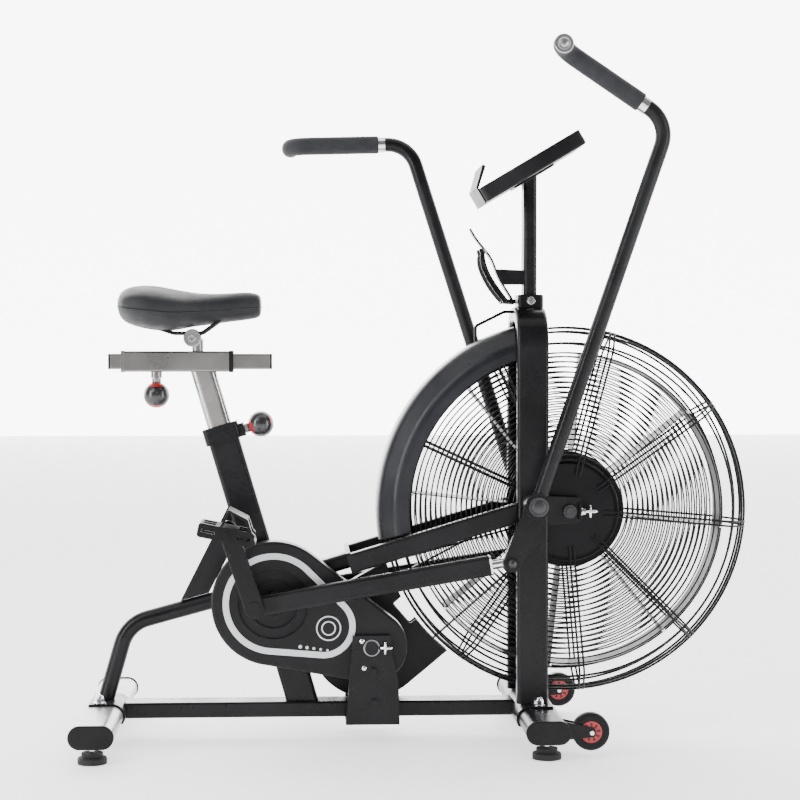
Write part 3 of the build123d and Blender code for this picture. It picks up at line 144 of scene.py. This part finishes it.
def finish(name, colour, rough, metallic=0.0, specular=0.5, coat=0.0, sheen=0.0, grain=900.0, bump=0.05,
           patch=9.0, shade=0.25, rough_span=0.08, edge=None, bevel=0.0008, stretch=None, speck=0.0):
    """Base finish: patches of slightly different shade and gloss, a fine bump, and soft lighter edges."""
    mat, tree, shader = new_material(name, colour, rough, metallic, specular, coat, sheen)
    broad = noise(tree, patch)
    fine = noise(tree, grain, 2.0, 0.5, stretch)
    light = tuple(min(1.0, c * (1 + shade) + 0.002) for c in colour)
    dark = tuple(c * (1 - shade) for c in colour)
    tint = mix_colour(tree, ramp(tree, broad, 0, 1), dark, light)
    if speck:
        tint = mix_colour(tree, ramp(tree, fine, 0, speck, 0.55, 0.7), tint,
                          tuple(min(1, c * 2 + 0.03) for c in colour))
    normal = None
    if bevel:
        mask, normal = edge_mask(tree, bevel)
        if edge:
            worn = math_node(tree, "MULTIPLY", mask, ramp(tree, noise(tree, 120.0), 0.35, 1.0))
            tint = mix_colour(tree, worn, tint, edge)
    tree.links.new(tint, shader.inputs["Base Color"])
    tree.links.new(ramp(tree, broad, rough - rough_span, rough + rough_span, 0.3, 0.7),
                   shader.inputs["Roughness"])
    bumps = tree.nodes.new("ShaderNodeBump")
    bumps.inputs["Strength"].default_value = bump
    bumps.inputs["Distance"].default_value = 0.0006
    tree.links.new(fine, bumps.inputs["Height"])
    if normal:
        tree.links.new(normal, bumps.inputs["Normal"])
    tree.links.new(bumps.outputs[0], shader.inputs["Normal"])
    return mat


FRAME_BLACK = finish("frame_powder_coat", (0.007, 0.007, 0.008), 0.28, specular=0.16, grain=1500,
                     bump=0.10,
                     edge=(0.035, 0.035, 0.038), shade=0.3)
FOOT_SILVER = finish("foot_silver_coat", (0.27, 0.27, 0.28), 0.30, metallic=0.75, grain=1600, bump=0.08,
                     edge=(0.7, 0.7, 0.72), shade=0.10)
CAP_BLACK = finish("cap_moulded", (0.008, 0.008, 0.008), 0.45, specular=0.14, grain=700, bump=0.25,
                   edge=(0.05, 0.05, 0.05))
RUBBER = finish("foot_rubber", (0.014, 0.014, 0.014), 0.7, specular=0.3, grain=500, bump=0.35,
                edge=(0.045, 0.045, 0.045))
CHROME = finish("bright_chrome", (0.82, 0.82, 0.84), 0.12, metallic=1.0, grain=300, bump=0.02,
                shade=0.05,
                rough_span=0.05)
STEEL = finish("drive_steel", (0.30, 0.30, 0.31), 0.34, metallic=1.0, grain=900, bump=0.08, shade=0.15)
DARK_STEEL = finish("dark_drive_steel", (0.05, 0.05, 0.052), 0.38, metallic=0.8, grain=900, bump=0.08)
BRUSHED = finish("brushed_bar_steel", (0.23, 0.22, 0.212), 0.33, metallic=1.0, grain=900, bump=0.18,
                 shade=0.10,
                 stretch=(0.02, 1.0, 1.0), edge=(0.62, 0.61, 0.60))
POST_STEEL = finish("polished_post_steel", (0.34, 0.33, 0.32), 0.22, metallic=1.0, grain=900, bump=0.10,
                    shade=0.08,
                    stretch=(1.0, 1.0, 0.02))
CASE_PLASTIC = finish("console_texture", (0.007, 0.007, 0.008), 0.40, specular=0.16, grain=800,
                      bump=0.35, edge=(0.06, 0.06, 0.065))
PANEL = finish("console_gloss", (0.014, 0.0145, 0.016), 0.22, grain=900, bump=0.05, coat=0.4)
SCREEN = finish("console_glass", (0.035, 0.045, 0.042), 0.08, grain=200, bump=0.01, coat=0.8, bevel=0)
INLAY = finish("cover_stripe", (0.62, 0.63, 0.65), 0.32, metallic=0.3, grain=900, bump=0.06, shade=0.05)
HOLDER = finish("holder_plastic", (0.006, 0.006, 0.007), 0.28, specular=0.18, grain=900, bump=0.12,
                edge=(0.07, 0.07, 0.075))
COVER = finish("cover_moulded", (0.008, 0.008, 0.009), 0.36, specular=0.16, grain=850, bump=0.30,
               edge=(0.075, 0.075, 0.08))
SHROUD = finish("shroud_moulded", (0.011, 0.0115, 0.0145), 0.30, specular=0.25, grain=750, bump=0.18,
                edge=(0.06, 0.06, 0.065))
WIRE = finish("cage_wire_coat", (0.004, 0.004, 0.005), 0.34, specular=0.14, grain=1500, bump=0.05,
              bevel=0)
FAN_DARK = finish("fan_dark_coat", (0.005, 0.005, 0.006), 0.40, specular=0.14, grain=1300, bump=0.08)
FAN_SHEET = finish("fan_sheet_coat", (0.06, 0.06, 0.063), 0.42, metallic=0.4, grain=1300, bump=0.08,
                   shade=0.12, bevel=0)
PEDAL = finish("pedal_moulded", (0.006, 0.006, 0.006), 0.45, specular=0.16, grain=600, bump=0.35,
               edge=(0.06, 0.06, 0.06))
TYRE = finish("wheel_tyre", (0.006, 0.006, 0.007), 0.42, specular=0.16, grain=500, bump=0.15)
KEYS = finish("console_keys", (0.10, 0.10, 0.11), 0.4, grain=900, bump=0.1)


def foam_material():
    """Closed-cell foam: matte skin with fine pores."""
    mat, tree, shader = new_material("grip_foam", (0.028, 0.029, 0.033), 0.82, specular=0.2, sheen=0.1)
    cells = tree.nodes.new("ShaderNodeTexVoronoi")
    cells.inputs["Scale"].default_value = 650
    coords = tree.nodes.new("ShaderNodeTexCoord")
    tree.links.new(coords.outputs["Object"], cells.inputs["Vector"])
    tint = mix_colour(tree, ramp(tree, noise(tree, 40.0), 0, 1),
                      (0.024, 0.025, 0.029), (0.038, 0.039, 0.044))
    tint = mix_colour(tree, ramp(tree, cells.outputs["Distance"], 0.0, 0.6, 0.0, 0.5), tint,
                      (0.014, 0.014, 0.016))
    tree.links.new(tint, shader.inputs["Base Color"])
    bumps = tree.nodes.new("ShaderNodeBump")
    bumps.inputs["Strength"].default_value = 0.4
    bumps.inputs["Distance"].default_value = 0.0008
    tree.links.new(cells.outputs["Distance"], bumps.inputs["Height"])
    tree.links.new(bumps.outputs[0], shader.inputs["Normal"])
    return mat


def vinyl_material():
    """Leather-look vinyl: soft cells, slight sheen."""
    mat, tree, shader = new_material("saddle_vinyl", (0.012, 0.0125, 0.015), 0.44, specular=0.2,
                                     sheen=0.02)
    cells = tree.nodes.new("ShaderNodeTexVoronoi")
    cells.feature = "DISTANCE_TO_EDGE"
    cells.inputs["Scale"].default_value = 420
    coords = tree.nodes.new("ShaderNodeTexCoord")
    tree.links.new(coords.outputs["Object"], cells.inputs["Vector"])
    tint = mix_colour(tree, ramp(tree, noise(tree, 16.0), 0, 1),
                      (0.011, 0.0115, 0.0135), (0.018, 0.0185, 0.021))
    tree.links.new(tint, shader.inputs["Base Color"])
    tree.links.new(ramp(tree, noise(tree, 30.0), 0.38, 0.52), shader.inputs["Roughness"])
    bumps = tree.nodes.new("ShaderNodeBump")
    bumps.inputs["Strength"].default_value = 0.35
    bumps.inputs["Distance"].default_value = 0.0006
    tree.links.new(ramp(tree, cells.outputs["Distance"], 0, 1, 0.0, 0.25), bumps.inputs["Height"])
    tree.links.new(bumps.outputs[0], shader.inputs["Normal"])
    return mat


def knob_material(name, centre, axis):
    """Black moulded ball with a red band at the neck and a red ring on its end."""
    mat, tree, shader = new_material(name, (0.012, 0.012, 0.013), 0.28, specular=0.5, coat=0.2)
    coords = tree.nodes.new("ShaderNodeTexCoord")
    offset = tree.nodes.new("ShaderNodeVectorMath")
    offset.operation = "SUBTRACT"
    offset.inputs[1].default_value = centre
    tree.links.new(coords.outputs["Object"], offset.inputs[0])
    along = tree.nodes.new("ShaderNodeVectorMath")
    along.operation = "DOT_PRODUCT"
    along.inputs[1].default_value = axis
    tree.links.new(offset.outputs[0], along.inputs[0])
    height = along.outputs["Value"]
    neck = math_node(tree, "MULTIPLY", math_node(tree, "GREATER_THAN", height, -0.0235),
                     math_node(tree, "LESS_THAN", height, -0.0165))
    ring = math_node(tree, "MULTIPLY", math_node(tree, "GREATER_THAN", height, 0.0195),
                     math_node(tree, "LESS_THAN", height, 0.0225))
    red = math_node(tree, "MAXIMUM", neck, ring)
    tint = mix_colour(tree, ramp(tree, noise(tree, 60.0), 0, 1),
                      (0.010, 0.010, 0.011), (0.020, 0.020, 0.022))
    tint = mix_colour(tree, red, tint, (0.42, 0.012, 0.016))
    pin = math_node(tree, "LESS_THAN", height, -0.0262)
    tint = mix_colour(tree, pin, tint, (0.25, 0.25, 0.26))
    tree.links.new(tint, shader.inputs["Base Color"])
    tree.links.new(ramp(tree, noise(tree, 90.0), 0.22, 0.36), shader.inputs["Roughness"])
    bumps = tree.nodes.new("ShaderNodeBump")
    bumps.inputs["Strength"].default_value = 0.08
    bumps.inputs["Distance"].default_value = 0.0006
    tree.links.new(noise(tree, 900.0), bumps.inputs["Height"])
    tree.links.new(bumps.outputs[0], shader.inputs["Normal"])
    return mat


def wheel_hub_material():
    """Red moulded hub; the recesses between its spokes get painted shade and a bump."""
    mat, tree, shader = new_material("wheel_red_hub", (0.42, 0.012, 0.018), 0.30)
    coords = tree.nodes.new("ShaderNodeTexCoord")
    parts = tree.nodes.new("ShaderNodeSeparateXYZ")
    tree.links.new(coords.outputs["Object"], parts.inputs[0])
    across = math_node(tree, "SUBTRACT", parts.outputs["X"], WHEEL[0])
    up = math_node(tree, "SUBTRACT", parts.outputs["Z"], WHEEL[1])
    spokes = math_node(tree, "SINE", math_node(tree, "MULTIPLY", math_node(tree, "ARCTAN2", up, across),
                                               WHEEL_SPOKES))
    radius = math_node(tree, "SQRT", math_node(tree, "ADD", math_node(tree, "POWER", across, 2.0),
                                               math_node(tree, "POWER", up, 2.0)))
    # mask of the recesses between the spokes, used for the painted shade and the bump
    recess_shade_mask = math_node(tree, "MULTIPLY", ramp(tree, spokes, 0, 1, 0.1, 0.35),
                       math_node(tree, "MULTIPLY", ramp(tree, radius, 0, 1, 0.0085, 0.0092),
                                 ramp(tree, radius, 1, 0, 0.0165, 0.0172)))
    tint = mix_colour(tree, ramp(tree, noise(tree, 60.0), 0, 1),
                      (0.34, 0.008, 0.013), (0.50, 0.016, 0.024))
    # painted shade: the recesses between the spokes are darkened to near black
    tint = mix_colour(tree, recess_shade_mask, tint, (0.03, 0.004, 0.005))
    tree.links.new(tint, shader.inputs["Base Color"])
    bumps = tree.nodes.new("ShaderNodeBump")
    bumps.inputs["Strength"].default_value = 0.6
    bumps.inputs["Distance"].default_value = 0.0015
    bumps.invert = True
    tree.links.new(recess_shade_mask, bumps.inputs["Height"])
    tree.links.new(bumps.outputs[0], shader.inputs["Normal"])
    return mat


GRIP_FOAM = foam_material()
WHEEL_RED = wheel_hub_material()
VINYL = vinyl_material()
LEAN = radians(16.6)
SEAT_UP = Vector((-sin(LEAN), 0, cos(LEAN)))
SEAT_FORWARD = Vector((cos(LEAN), 0, sin(LEAN)))
HEIGHT_KNOB_AT = Vector((-0.2227, 0, 0.073)) + SEAT_UP * 0.538 + SEAT_FORWARD * 0.0775
HEIGHT_KNOB = knob_material("height_knob_red_black", HEIGHT_KNOB_AT, SEAT_FORWARD)
SLIDER_KNOB = knob_material("slider_knob_red_black", Vector((-0.504, 0, 0.667)), Vector((0, 0, -1)))

LOOKS = {
    FRAME_BLACK: ("base_beam", "front_stabilizer", "seat_tube", "rear_stay", "front_stay",
                  "upright_arch", "mast",
                  "jack_stand", "wheel_brackets", "shroud_brace", "right_crank", "left_crank", "right_rod",
                  "left_rod", "right_handle", "left_handle", "saddle_rails"),
    FOOT_SILVER: ("rear_stabilizer",),
    CAP_BLACK: ("stabilizer_caps", "slider_plugs", "slider_bushings"),
    RUBBER: ("foot_pads",),
    CHROME: ("foot_screws", "frame_bolts", "right_rod_end", "left_rod_end", "saddle_clamp", "fan_axle"),
    DARK_STEEL: ("drive_chains", "pivot_shafts"),
    STEEL: ("drive_bearings", "chainring", "jackshaft"),
    POST_STEEL: ("seat_post",),
    BRUSHED: ("slider_sleeve", "slider_bar"),
    CASE_PLASTIC: ("console_case",),
    PANEL: ("console_panel",),
    SCREEN: ("console_screen",),
    INLAY: ("cover_inlays",),
    HOLDER: ("bottle_holder",),
    COVER: ("right_chain_cover", "left_chain_cover"),
    SHROUD: ("shroud",),
    WIRE: ("right_grille", "left_grille", "cage_perimeter"),
    FAN_DARK: ("fan_hub",),
    FAN_SHEET: ("fan_blades",),
    PEDAL: ("right_pedal", "left_pedal"),
    GRIP_FOAM: ("right_grip", "left_grip"),
    TYRE: ("right_wheel", "left_wheel"),
    HEIGHT_KNOB: ("height_knob",),
    SLIDER_KNOB: ("slider_knob",),
}
for material, names in LOOKS.items():
    for name in names:
        NODES[name].data.materials.clear()
        NODES[name].data.materials.append(material)


def paint(node, material, test):
    """Gives the node's faces whose centre passes the test their own material."""
    mesh = NODES[node].data
    mesh.materials.append(material)
    index = len(mesh.materials) - 1
    for face in mesh.polygons:
        if test(face.center):
            face.material_index = index


def handle_point(side, x, y, z):
    turn = -side * radians(SWING)
    return Vector((PIVOT[0] + x * cos(turn) + z * sin(turn), side * y,
                   PIVOT[1] - x * sin(turn) + z * cos(turn)))


for side, name in ((-1, "right_grip"), (1, "left_grip")):
    corner = handle_point(side, *HANDLE_CORNER)
    rear = handle_point(side, *HANDLE_REAR)
    back = (rear - corner).normalized()
    paint(name, CHROME, lambda c: (c - corner).dot(back) < 0.0642 or abs(c.y) > 0.2619)
paint("slider_bushings", BRUSHED, lambda c: c.x < -0.5)
paint("fan_axle", DARK_STEEL, lambda c: c.x < 0.308)
paint("jackshaft", FRAME_BLACK, lambda c: abs(c.y) > 0.0892)
paint("frame_bolts", FRAME_BLACK, lambda c: c.y < -0.0885 and c.x < 0.0 and c.z > 0.07)
for name in ("right_wheel", "left_wheel"):
    paint(name, WHEEL_RED, lambda c: (c.x - WHEEL[0]) ** 2 + (c.z - WHEEL[1]) ** 2 < 0.0201 ** 2)
paint("wheel_brackets", CHROME, lambda c: (c.x - WHEEL[0]) ** 2 + (c.z - WHEEL[1]) ** 2 < 0.0042 ** 2)
paint("chainring", FRAME_BLACK, lambda c: (c.x - BB[0]) ** 2 + (c.z - BB[1]) ** 2 < 0.0101 ** 2)
TILT = radians(30.8)
PANEL_UP = Vector((-sin(TILT), 0, cos(TILT)))
PANEL_ALONG = Vector((cos(TILT), 0, sin(TILT)))
PANEL_AT = Vector((0.219, 0, 1.106))
paint("console_panel", KEYS,
      lambda c: (c - PANEL_AT).dot(PANEL_UP) > 0.0146 and (c - PANEL_AT).dot(PANEL_ALONG) < -0.045)


# ---------------------------------------------------------------- mesh helpers
def new_object(name, mesh, material, body):
    obj = bpy.data.objects.new(name, mesh)
    bpy.context.scene.collection.objects.link(obj)
    mesh.materials.append(material)
    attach(obj, body)
    return obj


def turned(name, profile, at, axis, material, body, segments=32):
    """Solid of revolution: profile is (radius, height) pairs along the axis from the point."""
    bm = bmesh.new()
    direction = Vector(axis).normalized()
    side = direction.orthogonal().normalized()
    other = direction.cross(side)
    rings = []
    for radius, height in profile:
        ring = []
        for step in range(segments):
            angle = 2 * pi * step / segments
            spot = (Vector(at) + direction * height
                    + (side * cos(angle) + other * sin(angle)) * max(radius, 1e-5))
            ring.append(bm.verts.new(spot))
        rings.append(ring)
    for low, high in zip(rings, rings[1:]):
        for step in range(segments):
            bm.faces.new((low[step], low[(step + 1) % segments], high[(step + 1) % segments],
                          high[step]))
    bm.faces.new(reversed(rings[0]))
    bm.faces.new(rings[-1])
    mesh = bpy.data.meshes.new(name)
    bm.normal_update()
    bm.to_mesh(mesh)
    bm.free()
    for face in mesh.polygons:
        face.use_smooth = len(face.vertices) == 4
    return new_object(name, mesh, material, body)


# ---------------------------------------------------------------- saddle
# along the saddle: half width, bottom of the skirt, top at the middle, crown drop at the sides
SADDLE = ((-0.576, 0.050, 0.828, 0.855, 0.010), (-0.570, 0.078, 0.813, 0.868, 0.012),
          (-0.555, 0.099, 0.803, 0.877, 0.014), (-0.530, 0.110, 0.796, 0.881, 0.016),
          (-0.500, 0.112, 0.791, 0.880, 0.018), (-0.470, 0.101, 0.791, 0.874, 0.018),
          (-0.440, 0.078, 0.798, 0.868, 0.016), (-0.410, 0.057, 0.802, 0.865, 0.013),
          (-0.380, 0.044, 0.806, 0.865, 0.011), (-0.350, 0.037, 0.810, 0.867, 0.009),
          (-0.325, 0.033, 0.813, 0.868, 0.008), (-0.308, 0.028, 0.816, 0.865, 0.006),
          (-0.300, 0.021, 0.822, 0.859, 0.004))


def saddle_section(half, low, high, drop, segments=40):
    """One closed cross-section: crowned top with a shallow channel, rolled edges, tucked skirt."""
    points = []
    for step in range(segments):
        angle = 2 * pi * step / segments
        c, s = cos(angle), sin(angle)
        y = half * (abs(c) ** 0.72) * (1 if c >= 0 else -1)
        if s >= 0:
            share = abs(y) / half if half else 0
            z = high - drop * share ** 2 - (high - drop - (low + high) / 2) * (1 - s ** 0.55) * 0.95
            z -= 0.0035 * max(0.0, 1 - (y / 0.018) ** 2) * min(1.0, half / 0.09)
        else:
            z = (low + high) / 2 - ((high - low) / 2) * abs(s) ** 0.8
            y *= 1 - 0.28 * abs(s) ** 1.5
        points.append((y, z))
    return points


bm = bmesh.new()
rings = []
for x, half, low, high, drop in SADDLE:
    rings.append([bm.verts.new((x, y, z)) for y, z in saddle_section(half, low, high, drop)])
count = len(rings[0])
for low_ring, high_ring in zip(rings, rings[1:]):
    for step in range(count):
        bm.faces.new((low_ring[step], low_ring[(step + 1) % count], high_ring[(step + 1) % count],
                      high_ring[step]))
bm.faces.new(rings[0])
bm.faces.new(list(reversed(rings[-1])))
bmesh.ops.recalc_face_normals(bm, faces=bm.faces)
saddle_mesh = bpy.data.meshes.new("saddle_cushion")
bm.to_mesh(saddle_mesh)
bm.free()
for face in saddle_mesh.polygons:
    face.use_smooth = True
saddle = new_object("saddle_cushion", saddle_mesh, VINYL, "slider")
subdivide = saddle.modifiers.new("smooth", "SUBSURF")
subdivide.levels = 2
subdivide.render_levels = 2
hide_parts("saddle")


def seam(name, share, material):
    """Thin piped line round the saddle, at a share of the side's height."""
    left = [Vector((x, half * 0.985, low + (high - low) * share)) for x, half, low, high,
            drop in SADDLE]
    right = [Vector((p.x, -p.y, p.z)) for p in reversed(left)]
    curve = bpy.data.curves.new(name, "CURVE")
    curve.dimensions = "3D"
    curve.bevel_depth = 0.0009
    curve.bevel_resolution = 2
    spline = curve.splines.new("NURBS")
    points = left + right
    spline.points.add(len(points) - 1)
    for point, spot in zip(spline.points, points):
        point.co = (*spot, 1)
    spline.use_cyclic_u = True
    spline.order_u = 3
    obj = bpy.data.objects.new(name, curve)
    bpy.context.scene.collection.objects.link(obj)
    curve.materials.append(material)
    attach(obj, "slider")


seam("saddle_piping", 0.40, VINYL)

# ---------------------------------------------------------------- small hardware
for number in range(8):
    angle = radians(BLADE_START + 45 * number)
    radius = RIM_R - 0.0035
    spot = Vector((FAN[0] + radius * cos(angle), RIM_NEAR_Y, FAN[1] + radius * sin(angle)))
    turned(f"rim_rivet_{number}",
           ((0.0042, 0), (0.0042, -0.0012), (0.0030, -0.0024), (0.0008, -0.0029)),
           spot, (0, 1, 0), CHROME, "fan", 16)

STAND_SCREWS = ((-0.1080, 0.1975), (-0.1040, 0.1460))
ADJUSTERS = (("stand_adjuster", -0.0600, 0.0935, 0.1850), ("fan_adjuster", 0.3340, 0.0930, 0.4445))
for side, label in ((-1, "right"), (1, "left")):
    for number, (x, z) in enumerate(STAND_SCREWS):
        turned(f"{label}_stand_screw_{number}",
               ((0.0052, -0.0006), (0.0052, 0.0012), (0.0040, 0.0026), (0.0008, 0.0032)),
               Vector((x, side * 0.089, z)), (0, side, 0), CHROME, "frame", 20)
    for name, x, y, z in ADJUSTERS:
        turned(f"{label}_{name}_stud",
               ((0.0034, -0.016), (0.0034, 0.006), (0.0022, 0.0095), (0.0008, 0.0105)),
               Vector((x, side * y, z)), (1, 0, 0), CHROME, "frame", 20)
        turned(f"{label}_{name}_wing",
               ((0.0016, -0.0125), (0.0024, -0.0095), (0.0030, 0), (0.0024, 0.0095), (0.0016, 0.0125)),
               Vector((x - 0.004, side * y, z)), (0, 0, 1), CHROME, "frame", 20)
    lever_turn = radians(LEVER_LEAN - side * SWING)
    lever_pin = Vector((PIVOT[0] - LEVER * sin(lever_turn), side * 0.152,
                        PIVOT[1] - LEVER * cos(lever_turn)))
    turned(f"{label}_lever_nut",
           ((0.0088, -0.0004), (0.0088, 0.0012), (0.0070, 0.0042), (0.0035, 0.0056), (0.0008, 0.0060)),
           lever_pin, (0, side, 0), DARK_STEEL, f"{label}_handle", 24)
    turned(f"{label}_pivot_cover",
           ((0.0135, -0.0004), (0.0135, 0.0006), (0.0100, 0.0018), (0.0008, 0.0022)),
           Vector((PIVOT[0], side * 0.166, PIVOT[1])), (0, side, 0),
           DARK_STEEL, "frame", 32)
    tip = handle_point(side, *HANDLE_REAR)
    tip.y = side * 0.265
    turned(f"{label}_grip_plug",
           ((0.0118, -0.0004), (0.0118, 0.0010), (0.0104, 0.0014), (0.0098, 0.0004),
            (0.0072, 0.0004), (0.0066, 0.0012), (0.0008, 0.0014)),
           tip, (0, side, 0), STEEL, f"{label}_handle", 40)

# ---------------------------------------------------------------- floor, lights and camera
bpy.ops.mesh.primitive_plane_add(size=60)
floor = bpy.context.object
floor.name = "floor"
floor_mat, floor_tree, floor_shader = new_material("floor_pale", (0.86, 0.86, 0.86), 0.75, specular=0.2)
floor_tint = mix_colour(floor_tree, ramp(floor_tree, noise(floor_tree, 1.5), 0, 1), (0.85, 0.85, 0.85),
                        (0.88, 0.88, 0.88))
floor_tree.links.new(floor_tint, floor_shader.inputs["Base Color"])
floor_shader.inputs["Emission Color"].default_value = (1, 1, 1, 1)
floor_shader.inputs["Emission Strength"].default_value = FLOOR_GLOW
floor.data.materials.append(floor_mat)

bpy.ops.mesh.primitive_plane_add(size=1, location=(0, BACKDROP_Y, 0), rotation=(radians(90), 0, 0))
backdrop = bpy.context.object
backdrop.name = "backdrop"
backdrop.scale = (70, 40, 1)
backdrop_mat = bpy.data.materials.new("backdrop_white")
backdrop_mat.use_nodes = True
backdrop_shader = backdrop_mat.node_tree.nodes["Principled BSDF"]
backdrop_shader.inputs["Base Color"].default_value = (0.8, 0.8, 0.8, 1)
backdrop_shader.inputs["Emission Color"].default_value = (1, 1, 1, 1)
backdrop_shader.inputs["Emission Strength"].default_value = BACKDROP_LIGHT
backdrop.data.materials.append(backdrop_mat)

world = bpy.data.worlds.new("studio")
bpy.context.scene.world = world
world.use_nodes = True
world.node_tree.nodes["Background"].inputs["Color"].default_value = (1.0, 1.0, 1.0, 1)
world.node_tree.nodes["Background"].inputs["Strength"].default_value = ROOM_LIGHT


def area_light(name, at, target, size, power):
    data = bpy.data.lights.new(name, "AREA")
    data.shape = "RECTANGLE"
    data.size, data.size_y = size
    data.energy = power
    obj = bpy.data.objects.new(name, data)
    bpy.context.scene.collection.objects.link(obj)
    obj.location = at
    obj.rotation_euler = (Vector(target) - Vector(at)).to_track_quat("-Z", "Y").to_euler()


area_light("key", (-2.4, -2.4, 3.4), (-0.1, 0, 0.5), (1.8, 1.8), 45)
area_light("overhead", (0.0, 0.4, 3.8), (0, 0, 0.2), (5.0, 4.0), 130)
area_light("strip_left", (-2.6, -1.6, 1.1), (0.1, 0, 0.8), (0.22, 2.6), 75)
area_light("strip_right", (2.8, -1.8, 1.2), (0.2, 0, 0.7), (0.30, 2.4), 60)

camera_data = bpy.data.cameras.new("camera")
camera_data.lens = CAMERA_LENS
camera_data.sensor_width = 36
camera = bpy.data.objects.new("camera", camera_data)
bpy.context.scene.collection.objects.link(camera)
camera.location = CAMERA_AT
camera.rotation_euler = (radians(90 - CAMERA_PITCH), 0, radians(-CAMERA_YAW))
bpy.context.scene.camera = camera
